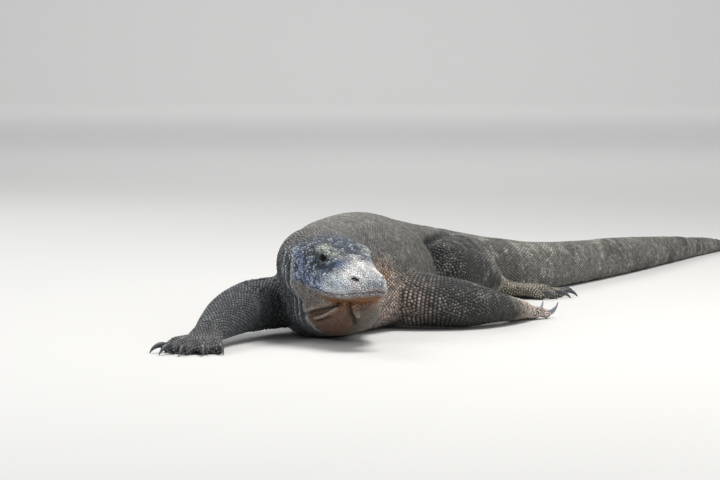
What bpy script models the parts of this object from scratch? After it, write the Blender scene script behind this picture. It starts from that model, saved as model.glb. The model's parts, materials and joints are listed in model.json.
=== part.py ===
"""Komodo dragon (Varanus komodoensis) resting on its belly, life size, as separate solids.

Metres, +Z up, with the floor at z = 0. The origin is on the floor under the middle of the
trunk, and the head faces -Y. Lofted tubes for the body, head, limbs and toes are fused into
one smooth body, which thin cuts then divide into the parts that a person would name.
"""

import math

import bmesh
import bpy
import numpy as np
from mathutils import Matrix, Vector

# ---------------------------------------------------------------- driving dimensions (metres)
GAP = 0.0004  # width of the thin cuts between neighbouring solids
FUSE_VOXEL = 0.0032  # grid on which the tubes are fused
TORSO_TRIANGLES = 1920  # head, neck, trunk and tail, before they are cut apart
LIMB_TRIANGLES = 385  # each limb with its toes

# Trunk, neck, throat and tail, from the front of the throat pouch to the tip of the tail:
# place on the floor plan, half width, top, bottom, and the share of the height where it is widest
BODY = [
    # x, y, half width, top, bottom, widest
    (-0.013, -0.592, 0.018, 0.078, 0.054, 0.50),  # throat, behind the chin
    (-0.020, -0.555, 0.036, 0.098, 0.026, 0.48),
    (-0.034, -0.505, 0.052, 0.125, 0.012, 0.42),  # lowest part of the throat pouch
    (-0.054, -0.445, 0.064, 0.157, 0.004, 0.42),  # back of the head
    (-0.062, -0.380, 0.072, 0.168, -0.004, 0.42),  # neck
    (-0.048, -0.310, 0.088, 0.170, -0.004, 0.40),
    (-0.026, -0.230, 0.100, 0.172, -0.004, 0.38),  # shoulders
    (-0.016, -0.120, 0.110, 0.167, -0.005, 0.36),  # ribs
    (-0.010, 0.000, 0.120, 0.159, -0.005, 0.32),  # middle of the trunk
    (0.010, 0.120, 0.093, 0.148, -0.005, 0.34),  # belly
    (0.064, 0.240, 0.092, 0.130, -0.005, 0.36),  # loin
    (0.138, 0.350, 0.084, 0.110, -0.005, 0.42),  # hips
    (0.222, 0.440, 0.064, 0.092, -0.005, 0.45),  # root of the tail
    (0.318, 0.580, 0.048, 0.077, -0.004, 0.45),
    (0.462, 0.900, 0.034, 0.065, -0.003, 0.42),
    (0.628, 1.320, 0.018, 0.039, -0.002, 0.40),
    (0.715, 1.520, 0.009, 0.022, -0.001, 0.40),
    (0.762, 1.620, 0.003, 0.008, 0.000, 0.50),  # tip
]

# Head, in its own axes: distance behind the tip of the snout, half width, then the crown, the
# widest level and the chin as heights above the line where the lips meet at the tip, and how
# round the upper half is (1 is an ellipse, less is boxier)
HEAD = [
    # behind tip, half width, crown, widest, chin, round
    (0.000, 0.0260, 0.0180, -0.001, -0.0090, 1.00),
    (0.028, 0.0315, 0.0255, -0.004, -0.0185, 0.96),
    (0.057, 0.0345, 0.0310, -0.008, -0.0300, 0.88),
    (0.085, 0.0390, 0.0365, -0.010, -0.0420, 0.74),
    (0.110, 0.0440, 0.0405, -0.010, -0.0520, 0.62),
    (0.142, 0.0520, 0.0440, -0.008, -0.0590, 0.82),
    (0.170, 0.0560, 0.0455, -0.008, -0.0610, 1.00),
    (0.207, 0.0575, 0.0430, -0.009, -0.0590, 1.04),
    (0.238, 0.0460, 0.0320, -0.011, -0.0480, 1.04),  # sinks into the neck
    (0.266, 0.0220, 0.0100, -0.012, -0.0280, 1.00),
]
CHIN_ROUND = 0.85
SNOUT_ROUND = 0.026  # length over which the snout rounds off
HEAD_TIP = Vector((0.0079, -0.650, 0.0832))
HEAD_YAW, HEAD_PITCH, HEAD_ROLL = math.radians(24.5), math.radians(11.5), math.radians(1.5)
# Swellings and hollows of the head: distance behind the tip, angle round it from the side
# (90 is the crown), height, and how far each reaches along and round the head
HEAD_FORMS = [
    (0.105, 48, 0.0055, 0.018, 13),  # brow ridge
    (0.103, 31, -0.0035, 0.013, 14),  # eye socket
    (0.074, 44, 0.0018, 0.024, 13),  # canthus, the ridge from brow to nostril
    (0.060, 90, -0.0030, 0.028, 24),  # hollow along the top of the snout
    (0.082, 22, -0.0025, 0.020, 16),  # hollow in front of the eye
    (0.165, -6, 0.0045, 0.022, 34),  # jaw muscle
    (0.022, 52, 0.0015, 0.012, 20),  # swollen nostrils
]
# The line between the lips, and the back of the lower jaw: distance behind the tip, and height
LIP_LINE = [(-0.02, 0.002), (0, 0), (0.012, -0.0030), (0.030, -0.0095), (0.057, -0.0175)]
LIP_LINE += [(0.085, -0.0215), (0.113, -0.0215), (0.140, -0.0185)]
JAW_BACK = [(0.156, -0.024), (0.164, -0.050), (0.167, -0.120), (0.167, -0.220)]
NAPE = 0.198  # where the head is cut from the neck, behind the tip of the snout

EYE_RADIUS = 0.0095
EYE_BEHIND, EYE_SIDE, EYE_UP = 0.1025, 0.0304, 0.0245
NOSTRIL = (0.0220, 0.0222, 0.0138)  # behind the tip, to the side, up
NOSTRIL_SIZE = (0.0046, 0.0034, 0.0028)
EAR = (0.176, 0.0590, 0.001)
EAR_SIZE = (0.0055, 0.0040, 0.0085)

# Limbs: a station for each joint and muscle, from inside the body to the wrist or ankle:
# place, half width across, half height
ARM_RIGHT = [
    ((-0.070, -0.285, 0.056), 0.046, 0.045),
    ((-0.120, -0.345, 0.048), 0.042, 0.038),
    ((-0.168, -0.425, 0.048), 0.038, 0.037),  # elbow
    ((-0.197, -0.495, 0.042), 0.034, 0.032),
    ((-0.216, -0.560, 0.032), 0.026, 0.024),
    ((-0.225, -0.603, 0.025), 0.022, 0.017),  # wrist
]
ARM_LEFT = [
    ((0.025, -0.250, 0.052), 0.054, 0.045),
    ((0.083, -0.270, 0.044), 0.050, 0.040),
    ((0.138, -0.268, 0.038), 0.042, 0.036),  # elbow
    ((0.183, -0.226, 0.030), 0.033, 0.026),
    ((0.212, -0.186, 0.024), 0.025, 0.019),
    ((0.229, -0.149, 0.020), 0.023, 0.016),
]
LEG_LEFT = [
    ((0.140, 0.330, 0.060), 0.054, 0.048),
    ((0.146, 0.235, 0.064), 0.046, 0.045),
    ((0.124, 0.140, 0.062), 0.041, 0.042),  # knee
    ((0.170, 0.208, 0.050), 0.038, 0.036),
    ((0.195, 0.262, 0.035), 0.030, 0.026),
    ((0.208, 0.306, 0.026), 0.024, 0.019),  # ankle
]
LEG_RIGHT = [
    ((0.105, 0.370, 0.060), 0.054, 0.048),
    ((0.025, 0.335, 0.066), 0.048, 0.046),
    ((-0.058, 0.272, 0.064), 0.042, 0.042),
    ((-0.084, 0.320, 0.049), 0.038, 0.036),
    ((-0.098, 0.376, 0.035), 0.030, 0.026),
    ((-0.106, 0.420, 0.026), 0.024, 0.019),
]

# Feet: limb, heading on the floor plan in degrees from +X, palm length, toe lengths from the
# inner to the outer toe, fan of the toes in degrees, side of the body, and whether the palm is up
FEET = {
    "hand_right": (ARM_RIGHT, 252, 0.036, (0.040, 0.052, 0.060, 0.056, 0.044), 64, -1, False),
    "hand_left": (ARM_LEFT, 84, 0.036, (0.040, 0.052, 0.058, 0.054, 0.042), 72, 1, True),
    "foot_left": (LEG_LEFT, 8, 0.052, (0.040, 0.056, 0.070, 0.080, 0.050), 62, 1, False),
    "foot_right": (LEG_RIGHT, 118, 0.052, (0.040, 0.056, 0.070, 0.080, 0.050), 84, -1, False),
}
TOE_RADIUS = 0.0085
PALM_HALF_HEIGHT = 0.0125
CLAW_LENGTH, CLAW_RADIUS, CLAW_TIP = 0.030, 0.0046, 0.0007
CLAW_BURIED = 0.005  # how far a claw's root sits in its toe

TORSO_CUTS = (6, 11, 13, 14, 15)  # rows of BODY where the torso is cut across
ELBOW_REACH, KNEE_REACH = 0.07, 0.19  # how far the cut through the bend goes towards its inside
BEND_OUT, BEND_WIDE = 0.07, 0.09  # how far that cut goes past the bend, and to each side
NECK_CUT_UP, NECK_CUT_DOWN, NECK_CUT_WIDE = 0.09, 0.30, 0.10
MOUTH_CUT_WIDE = 0.10
FLOOR_SIZE, FLOOR_THICKNESS = 4.0, 0.1  # block that trims the resting flesh flat
SOFTEN, SOFTEN_TIMES = 0.5, 4
BEND = 2  # the station of a limb that is its elbow or knee
LIMB_WORDS = {"hand": ("upper_arm", "forearm"), "foot": ("thigh", "shin")}

RING = 40  # points round a lofted ring
HEAD_RINGS = 56
BODY_RINGS = 120
LIMB_RINGS = 26
CLAW_SIDES, CLAW_RINGS = 8, 5
MOUTH_STEPS = 17


# ---------------------------------------------------------------- curves and lofts
def eased(xs, ys, at):
    """Monotone cubic through (xs, ys) at the given places. ys may have several columns."""
    xs, ys, at = np.asarray(xs, float), np.asarray(ys, float), np.asarray(at, float)
    if ys.ndim == 1:
        return eased(xs, ys[:, None], at)[:, 0]
    step = np.diff(xs)[:, None]
    slope = np.diff(ys, axis=0) / step
    inner = np.zeros_like(slope[1:])
    same = slope[1:] * slope[:-1] > 0
    first, second = 2 * step[1:] + step[:-1], step[1:] + 2 * step[:-1]
    mean = (first + second) / (
        first / np.where(same, slope[:-1], 1) + second / np.where(same, slope[1:], 1)
    )
    inner[same] = mean[same]
    tangent = np.vstack([slope[:1], inner, slope[-1:]])
    i = np.clip(np.searchsorted(xs, at) - 1, 0, len(xs) - 2)
    h = step[i]
    t = ((at - xs[i])[:, None]) / h
    return (
        (1 + 2 * t) * (1 - t) ** 2 * ys[i]
        + t * (1 - t) ** 2 * h * tangent[i]
        + t**2 * (3 - 2 * t) * ys[i + 1]
        + t**2 * (t - 1) * h * tangent[i + 1]
    )


def smooth_path(points, at):
    """Catmull-Rom curve through the points, at shares 0 to 1 of their chord length."""
    p = np.asarray(points, float)
    chord = np.r_[0, np.cumsum(np.linalg.norm(np.diff(p, axis=0), axis=1))]
    chord /= chord[-1]
    ends = np.vstack([2 * p[0] - p[1], p, 2 * p[-1] - p[-2]])
    i = np.clip(np.searchsorted(chord, at) - 1, 0, len(p) - 2)
    span = np.diff(chord)[i]
    t = ((at - chord[i]) / span)[:, None]
    a, b, c, d = ends[i], ends[i + 1], ends[i + 2], ends[i + 3]
    return 0.5 * (
        2 * b + (c - a) * t + (2 * a - 5 * b + 4 * c - d) * t**2 + (3 * b - a - 3 * c + d) * t**3
    )


def signed_power(value, power):
    return np.sign(value) * np.abs(value) ** power


def ring_angles():
    return np.arange(RING) * (2 * math.pi / RING)


def loft(name, rings):
    """Closed mesh object through the rings, with a flat cap at each end."""
    mesh = bpy.data.meshes.new(name)
    bm = bmesh.new()
    rows = [[bm.verts.new(p) for p in ring] for ring in rings]
    count = len(rows[0])
    for low, high in zip(rows, rows[1:]):
        for k in range(count):
            bm.faces.new((low[k], low[(k + 1) % count], high[(k + 1) % count], high[k]))
    bm.faces.new(rows[0][::-1])
    bm.faces.new(rows[-1])
    bmesh.ops.recalc_face_normals(bm, faces=bm.faces)
    bm.to_mesh(mesh)
    bm.free()
    obj = bpy.data.objects.new(name, mesh)
    bpy.context.scene.collection.objects.link(obj)
    return obj


def body_rings(count=BODY_RINGS):
    """Rings of the throat, neck, trunk and tail: wide low down, with an almost flat belly."""
    table = np.array(BODY)
    share = np.linspace(0, 1, count)
    plan = smooth_path(table[:, :2], share)
    chord = np.r_[0, np.cumsum(np.linalg.norm(np.diff(table[:, :2], axis=0), axis=1))]
    half, top, bottom, widest = eased(chord / chord[-1], table[:, 2:], share).T
    along = np.gradient(plan, axis=0)
    along /= np.linalg.norm(along, axis=1)[:, None]
    middle = bottom + widest * (top - bottom)
    rings = []
    for k in range(count):
        t = ring_angles()
        across = half[k] * signed_power(np.cos(t), 0.95)
        up = np.where(
            np.sin(t) > 0,
            (top[k] - middle[k]) * signed_power(np.sin(t), 0.98),
            (middle[k] - bottom[k]) * signed_power(np.sin(t), 0.62),
        )
        side = np.array([along[k][1], -along[k][0]])
        flat = plan[k] + across[:, None] * side
        rings.append(np.column_stack([flat, middle[k] + up]))
    return rings


def head_matrix():
    """Axes of the head: X backwards from the tip of the snout, Y to its right, Z up."""
    forward = Vector(
        (
            math.sin(HEAD_YAW) * math.cos(HEAD_PITCH),
            -math.cos(HEAD_YAW) * math.cos(HEAD_PITCH),
            -math.sin(HEAD_PITCH),
        )
    )
    left = forward.cross(Vector((0, 0, 1))).normalized() * -1
    left.rotate(Matrix.Rotation(-HEAD_ROLL, 3, forward))
    up = forward.cross(left)
    axes = Matrix((-forward, -left, up)).transposed().to_4x4()
    return Matrix.Translation(HEAD_TIP) @ axes


def head_rings(count=HEAD_RINGS):
    table = np.array(HEAD)
    first = 0.0008
    behind = first + (table[-1, 0] - first) * np.linspace(0, 1, count) ** 1.35
    half, crown, widest, chin, roundness = eased(table[:, 0], table[:, 1:], behind).T
    cap = np.sqrt(1 - (1 - np.minimum(behind / SNOUT_ROUND, 1)) ** 2)
    t = ring_angles()
    degrees = np.degrees(t)
    matrix = np.array(head_matrix())
    rings = []
    for k in range(count):
        above = np.sin(t) > 0
        power = np.where(above, roundness[k], CHIN_ROUND)
        across = half[k] * cap[k] ** 0.8 * signed_power(np.cos(t), power)
        reach = np.where(above, crown[k] - widest[k], widest[k] - chin[k])
        up = reach * cap[k] * signed_power(np.sin(t), power)
        radius = np.hypot(across, up)
        swell = np.zeros(RING)
        for place, angle, height, length, spread in HEAD_FORMS:
            near = height * math.exp(-(((behind[k] - place) / length) ** 2))
            for mirrored in {angle, 180 - angle}:
                apart = (degrees - mirrored + 180) % 360 - 180
                swell += near * np.exp(-((apart / spread) ** 2))
        grow = 1 + swell / radius
        local = [np.full(RING, behind[k]), across * grow, widest[k] + up * grow, np.ones(RING)]
        rings.append((np.column_stack(local) @ matrix.T)[:, :3])
    return rings


def limb_rings(stations, count=LIMB_RINGS):
    """Oval rings along a limb or toe, each square to the limb."""
    share = np.linspace(0, 1, count)
    places = np.array([s[0] for s in stations], float)
    path = smooth_path(places, share)
    chord = np.r_[0, np.cumsum(np.linalg.norm(np.diff(places, axis=0), axis=1))]
    sizes = eased(chord / chord[-1], [s[1:3] for s in stations], share)
    along = np.gradient(path, axis=0)
    along /= np.linalg.norm(along, axis=1)[:, None]
    across = np.cross(along, (0, 0, 1))
    across /= np.linalg.norm(across, axis=1)[:, None]
    above = np.cross(across, along)
    t = ring_angles()[:, None]
    return [
        path[k] + np.cos(t) * sizes[k, 0] * across[k] + np.sin(t) * sizes[k, 1] * above[k]
        for k in range(count)
    ]


# ---------------------------------------------------------------- feet
def on_plan(point, degrees, distance, z):
    turn = math.radians(degrees)
    return (point[0] + math.cos(turn) * distance, point[1] + math.sin(turn) * distance, z)


def palm_stations(limb, heading, length):
    wrist = limb[-1][0]
    near = on_plan(wrist, heading, -0.012, wrist[2])
    middle = on_plan(wrist, heading, length * 0.55, 0.0165)
    front = on_plan(wrist, heading, length, 0.0135)
    return [
        (near, 0.020, 0.016),
        (wrist, 0.022, 0.016),
        (middle, 0.028, PALM_HALF_HEIGHT),
        (front, 0.026, 0.0105),
        (on_plan(wrist, heading, length + 0.010, 0.012), 0.016, 0.008),
    ]


def toe_stations(wrist, heading, palm, length, palm_up):
    """One toe: out of the palm, over the knuckle, and down to a pad on the floor."""
    arch = 0.0035 if palm_up else 0.0050
    knuckle = TOE_RADIUS + arch
    return [
        (on_plan(wrist, heading, palm * 0.55, 0.0145), 0.0095, 0.0095),
        (on_plan(wrist, heading, palm + length * 0.20, knuckle + 0.001), 0.0092, 0.0092),
        (on_plan(wrist, heading, palm + length * 0.52, knuckle), 0.0085, 0.0084),
        (on_plan(wrist, heading, palm + length * 0.82, TOE_RADIUS - 0.0008), 0.0080, 0.0080),
        (on_plan(wrist, heading, palm + length, TOE_RADIUS - 0.0012), 0.0066, 0.0066),
        (on_plan(wrist, heading, palm + length + 0.004, TOE_RADIUS - 0.0012), 0.0038, 0.0038),
    ]


def claw_stations(wrist, heading, reach, palm_up):
    """A hooked cone: from inside the toe's end, over, and down to the floor, or up if the palm is."""
    out = [-CLAW_BURIED, 0.25 * CLAW_LENGTH, 0.60 * CLAW_LENGTH, 0.80 * CLAW_LENGTH]
    if palm_up:
        heights = [0.0095, 0.0100, 0.0160, 0.0240]
    else:
        heights = [0.0100, 0.0115, 0.0075, 0.0015]
    radii = [CLAW_RADIUS, CLAW_RADIUS * 0.86, CLAW_RADIUS * 0.52, CLAW_TIP]
    return [
        (on_plan(wrist, heading, reach + d, z), r * 0.78, r)
        for d, z, r in zip(out, heights, radii)
    ]


def toes_of(foot):
    """(toe stations, claw stations) of each toe, from the inner to the outer one."""
    limb, heading, palm, lengths, fan, side, palm_up = FEET[foot]
    wrist = limb[-1][0]
    made = []
    for k, length in enumerate(lengths):
        turn = side * fan * (k / (len(lengths) - 1) - 0.5)
        turn = -turn if palm_up else turn
        toe = toe_stations(wrist, heading + turn, palm, length, palm_up)
        made.append((toe, claw_stations(wrist, heading + turn, palm + length, palm_up)))
    return made


# ---------------------------------------------------------------- the fused body
def join(objects, name):
    """One object that holds all the meshes. The others are removed."""
    bm = bmesh.new()
    for obj in objects:
        bm.from_mesh(obj.data)
        bpy.data.objects.remove(obj)
    mesh = bpy.data.meshes.new(name)
    bm.to_mesh(mesh)
    bm.free()
    obj = bpy.data.objects.new(name, mesh)
    bpy.context.scene.collection.objects.link(obj)
    return obj


def apply_modifiers(obj):
    graph = bpy.context.evaluated_depsgraph_get()
    mesh = bpy.data.meshes.new_from_object(obj.evaluated_get(graph))
    obj.modifiers.clear()
    obj.data = mesh
    return obj


def fused(tubes, name, triangles):
    """The tubes as one closed surface, smoothed and then reduced to about so many triangles."""
    whole = join(tubes, name)
    fuse = whole.modifiers.new("fuse", "REMESH")
    fuse.mode, fuse.voxel_size = "VOXEL", FUSE_VOXEL
    soften = whole.modifiers.new("soften", "SMOOTH")
    soften.factor, soften.iterations = SOFTEN, SOFTEN_TIMES
    apply_modifiers(whole)
    reduce = whole.modifiers.new("reduce", "DECIMATE")
    whole.data.calc_loop_triangles()
    reduce.ratio = triangles / len(whole.data.loop_triangles)
    return apply_modifiers(whole)


def fused_torso():
    return fused([loft("body", body_rings()), loft("head", head_rings())], "torso", TORSO_TRIANGLES)


def fused_limb(foot):
    limb, heading, palm, *_rest = FEET[foot]
    tubes = [loft("limb", limb_rings(limb))]
    tubes.append(loft("palm", limb_rings(palm_stations(limb, heading, palm))))
    tubes += [loft("toe", limb_rings(toe, 14)) for toe, _claw in toes_of(foot)]
    return fused(tubes, foot, LIMB_TRIANGLES)


def grown(obj):
    """A copy whose surface lies GAP further out, to cut room for the original."""
    mesh = obj.data.copy()
    for vert, normal in zip(mesh.vertices, [v.normal.copy() for v in obj.data.vertices]):
        vert.co += normal * GAP
    copy = bpy.data.objects.new("grown", mesh)
    bpy.context.scene.collection.objects.link(copy)
    return copy


# ---------------------------------------------------------------- cutters
def slab(ring, direction, scale):
    """A thin slice: the ring, enlarged about its middle, GAP thick along the direction."""
    middle = ring.mean(axis=0)
    step = np.asarray(direction) / np.linalg.norm(direction) * GAP / 2
    wide = middle + (ring - middle) * scale
    return loft("slab", [wide - step, wide + step])


def body_slab(station, scale=1.12):
    """Slice across the body at the given row of BODY, and a little below the floor."""
    table = np.array(BODY)
    chord = np.r_[0, np.cumsum(np.linalg.norm(np.diff(table[:, :2], axis=0), axis=1))]
    place = chord[station] / chord[-1] * (BODY_RINGS - 1)
    rings = body_rings()
    k = int(round(place))
    direction = rings[k + 1].mean(axis=0) - rings[k - 1].mean(axis=0)
    direction[2] = 0
    return slab(rings[k], direction, scale)


def wrist_slab(stations, scale=1.35):
    rings = limb_rings(stations)
    along = rings[-1].mean(axis=0) - rings[-3].mean(axis=0)
    return slab(rings[-2], along, scale)


def bend_slab(stations, reach):
    """Slice through an elbow or knee, halving its bend, that reaches back between the two bones."""
    upper, joint, lower = (np.array(stations[k][0]) for k in (0, BEND, -1))
    to_upper = (upper - joint) / np.linalg.norm(upper - joint)
    to_lower = (lower - joint) / np.linalg.norm(lower - joint)
    normal = (to_upper - to_lower) / np.linalg.norm(to_upper - to_lower)
    back = (to_upper + to_lower) / np.linalg.norm(to_upper + to_lower)
    wide = np.cross(normal, back)
    outer = joint - back * BEND_OUT
    inner = joint + back * reach
    side = wide * BEND_WIDE
    flat = np.array([outer - side, inner - side, inner + side, outer + side])
    return loft("slab", [flat - normal * GAP / 2, flat + normal * GAP / 2])


def head_slab():
    """Slice between the head and the neck, square to the head and tall enough to reach the floor."""
    axes = head_matrix()
    corners = [(NECK_CUT_WIDE, NECK_CUT_UP), (-NECK_CUT_WIDE, NECK_CUT_UP)]
    corners += [(-NECK_CUT_WIDE, -NECK_CUT_DOWN), (NECK_CUT_WIDE, -NECK_CUT_DOWN)]
    faces = (NAPE - GAP / 2, NAPE + GAP / 2)
    return loft("slab", [[axes @ Vector((a, y, z)) for y, z in corners] for a in faces])


def mouth_slab():
    """The lips' line and the back of the jaw as one thin curved sheet through the head."""
    line = np.array(LIP_LINE + JAW_BACK)
    path = smooth_path(line, np.linspace(0, 1, MOUTH_STEPS))
    along = np.gradient(path, axis=0)
    along /= np.linalg.norm(along, axis=1)[:, None]
    out = np.column_stack([-along[:, 1], along[:, 0]]) * GAP / 2
    matrix = head_matrix()
    wide = MOUTH_CUT_WIDE
    rings = []
    for above, below in zip(path + out, path - out):
        ring = [(above[0], -wide, above[1]), (above[0], wide, above[1])]
        ring += [(below[0], wide, below[1]), (below[0], -wide, below[1])]
        rings.append([matrix @ Vector(corner) for corner in ring])
    return loft("slab", rings)


def ball(name, centre, radii, axes=None, segments=14):
    """An ellipsoid with the given half sizes along the axes of the head, or of the world."""
    mesh = bpy.data.meshes.new(name)
    bm = bmesh.new()
    bmesh.ops.create_uvsphere(bm, u_segments=segments, v_segments=segments // 2, radius=1)
    place = (axes or Matrix()) @ Matrix.Translation(centre) @ Matrix.Diagonal((*radii, 1))
    bmesh.ops.transform(bm, matrix=place, verts=bm.verts)
    bm.to_mesh(mesh)
    bm.free()
    obj = bpy.data.objects.new(name, mesh)
    bpy.context.scene.collection.objects.link(obj)
    return obj


def eye_centre(side):
    """Centre of an eye in the head's axes. side is -1 on the left and 1 on the right."""
    return Vector((EYE_BEHIND, side * EYE_SIDE, EYE_UP))


def floor_block():
    mesh = bpy.data.meshes.new("floor_block")
    bm = bmesh.new()
    bmesh.ops.create_cube(bm, size=1)
    bmesh.ops.scale(bm, vec=(FLOOR_SIZE, FLOOR_SIZE, FLOOR_THICKNESS), verts=bm.verts)
    bmesh.ops.translate(bm, vec=(0, 0.5, -FLOOR_THICKNESS / 2), verts=bm.verts)
    bm.to_mesh(mesh)
    bm.free()
    obj = bpy.data.objects.new("floor_block", mesh)
    bpy.context.scene.collection.objects.link(obj)
    return obj


def claw_loft(name, stations):
    return loft(name, [ring[:: RING // CLAW_SIDES] for ring in limb_rings(stations, CLAW_RINGS)])


def claw_socket(stations):
    """The room for a claw in its toe: the claw, GAP larger, and longer at its root."""
    wider = [(place, w + GAP, h + GAP) for place, w, h in stations]
    first, second = Vector(wider[0][0]), Vector(wider[1][0])
    root = first - (second - first).normalized() * GAP
    wider[0] = (tuple(root), *wider[0][1:])
    return claw_loft("socket", wider)


def torso_cutters():
    made = [floor_block(), head_slab(), mouth_slab()]
    made += [body_slab(row) for row in TORSO_CUTS]
    axes = head_matrix()
    for side in (-1, 1):
        made.append(ball("socket", eye_centre(side), [EYE_RADIUS + GAP] * 3, axes))
        for place, size in ((NOSTRIL, NOSTRIL_SIZE), (EAR, EAR_SIZE)):
            made.append(ball("pit", (place[0], side * place[1], place[2]), size, axes, 10))
    return made


def limb_cutters(foot):
    limb = FEET[foot][0]
    reach = ELBOW_REACH if foot.startswith("hand") else KNEE_REACH
    made = [floor_block(), bend_slab(limb, reach), wrist_slab(limb)]
    return made + [claw_socket(claw) for _toe, claw in toes_of(foot)]


def cut_apart(obj, cutters):
    """Cuts all the cutters out of the object at once, and gives back its separate bodies."""
    held = bpy.data.collections.new("cutters")
    bpy.context.scene.collection.children.link(held)
    for cutter in cutters:
        cutter.hide_render = True
        cutter.display_type = "WIRE"
        bpy.context.scene.collection.objects.unlink(cutter)
        held.objects.link(cutter)
    cut = obj.modifiers.new("part", "BOOLEAN")
    cut.operation, cut.operand_type, cut.solver = "DIFFERENCE", "COLLECTION", "EXACT"
    cut.collection = held
    return islands(apply_modifiers(obj))


# ---------------------------------------------------------------- materials
SKINS = {
    "skin_grey": ((0.115, 0.108, 0.094), 0.75),
    "skin_head": ((0.190, 0.200, 0.215), 0.70),
    "skin_throat": ((0.200, 0.135, 0.085), 0.75),
    "claw_horn": ((0.060, 0.058, 0.060), 0.40),
    "eye": ((0.012, 0.009, 0.008), 0.08),
}


SKIN_OF = {"head": "skin_head", "lower_jaw": "skin_throat"}


def material(name):
    found = bpy.data.materials.get(name)
    if found:
        return found
    made = bpy.data.materials.new(name)
    made.use_nodes = True
    shader = made.node_tree.nodes["Principled BSDF"]
    colour, roughness = SKINS[name]
    shader.inputs["Base Color"].default_value = (*colour, 1)
    shader.inputs["Roughness"].default_value = roughness
    shader.inputs["Metallic"].default_value = 0
    return made


def finish(obj, name, skin):
    obj.name = name
    obj.data.name = name
    obj.data.materials.clear()
    obj.data.materials.append(material(skin))
    obj.data.shade_smooth()
    obj.data.set_sharp_from_angle(angle=math.radians(40))


# ---------------------------------------------------------------- parting and naming
def torso_places():
    """A point inside each part of the torso, by the part's name."""
    axes = head_matrix()
    body = np.array(BODY)
    places = {
        "head": axes @ Vector((0.11, 0, 0.012)),
        "lower_jaw": axes @ Vector((0.12, 0, -0.042)),
        "neck": (*body[4, :2], 0.08),
        "trunk": (*(body[8, :2] + body[9, :2]) / 2, 0.07),
        "tail_root": (*body[12, :2], 0.045),
        "tail_front": (*(body[13, :2] + body[14, :2]) / 2, 0.035),
        "tail_middle": (*(body[14, :2] + body[15, :2]) / 2, 0.025),
        "tail_end": (*body[16, :2], 0.012),
    }
    return {name: np.array(place) for name, place in places.items()}


def limb_places(foot):
    stations, heading, palm, *_rest = FEET[foot]
    upper, lower = LIMB_WORDS[foot.split("_")[0]]
    side = foot.split("_")[1]
    return {
        f"{upper}_{side}": np.array(stations[1][0]),
        f"{lower}_{side}": np.array(stations[3][0]),
        foot: np.array(on_plan(stations[-1][0], heading, palm * 0.6, 0.012)),
    }


def islands(obj):
    """The object's separate closed bodies as new objects, largest first. The object goes."""
    bm = bmesh.new()
    bm.from_mesh(obj.data)
    unseen, groups = set(bm.verts), []
    while unseen:
        stack, group = [unseen.pop()], []
        while stack:
            vert = stack.pop()
            group.append(vert)
            for edge in vert.link_edges:
                other = edge.other_vert(vert)
                if other in unseen:
                    unseen.discard(other)
                    stack.append(other)
        groups.append(group)
    made = []
    for group in sorted(groups, key=len, reverse=True):
        piece = bmesh.new()
        copies = {v: piece.verts.new(v.co) for v in group}
        for face in {f for v in group for f in v.link_faces}:
            piece.faces.new([copies[v] for v in face.verts])
        bmesh.ops.recalc_face_normals(piece, faces=piece.faces)
        mesh = bpy.data.meshes.new("piece")
        piece.to_mesh(mesh)
        piece.free()
        made.append(bpy.data.objects.new("piece", mesh))
        bpy.context.scene.collection.objects.link(made[-1])
    bm.free()
    bpy.data.objects.remove(obj)
    return made


def name_pieces(pieces, places):
    """Names each part after the piece that lies closest round its inner point, and drops scraps."""
    for name, place in places.items():

        def distance(piece):
            points = np.array([v.co for v in piece.data.vertices])
            low, high = points.min(axis=0), points.max(axis=0)
            outside = np.maximum(0, np.maximum(low - place, place - high))
            return np.linalg.norm(outside) + 0.2 * np.linalg.norm((low + high) / 2 - place)

        nearest = min(pieces, key=distance)
        pieces.remove(nearest)
        finish(nearest, name, SKIN_OF.get(name, "skin_grey"))
    for scrap in pieces:
        bpy.data.objects.remove(scrap)


def add_eyes():
    for side, word in ((-1, "left"), (1, "right")):
        eye = ball("eye", eye_centre(side), [EYE_RADIUS] * 3, head_matrix())
        finish(eye, f"eye_{word}", "eye")


def add_claws():
    for foot in FEET:
        for k, (_toe, claw) in enumerate(toes_of(foot)):
            finish(claw_loft("claw", claw), f"claw_{foot}_{k + 1}", "claw_horn")


def main():
    for obj in list(bpy.data.objects):
        bpy.data.objects.remove(obj)
    torso = fused_torso()
    room = {foot: grown(torso) for foot in FEET}
    name_pieces(cut_apart(torso, torso_cutters()), torso_places())
    for foot in FEET:
        pieces = cut_apart(fused_limb(foot), [room[foot], *limb_cutters(foot)])
        name_pieces(pieces, limb_places(foot))
    add_eyes()
    add_claws()


main()
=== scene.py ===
"""Looks of the komodo dragon: one skin, its scales, eyes, claws, floor, light and camera.

Metres, +Z up, floor at z = 0, the head faces -Y. The tables of the body, head and limbs say
the same as those of the CAD solids, so that the skin lies just inside them.
"""

import itertools
import json
import math

import bmesh
import bpy
import numpy as np
from mathutils import Matrix, Vector
from mathutils.bvhtree import BVHTree
from mathutils.kdtree import KDTree

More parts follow.
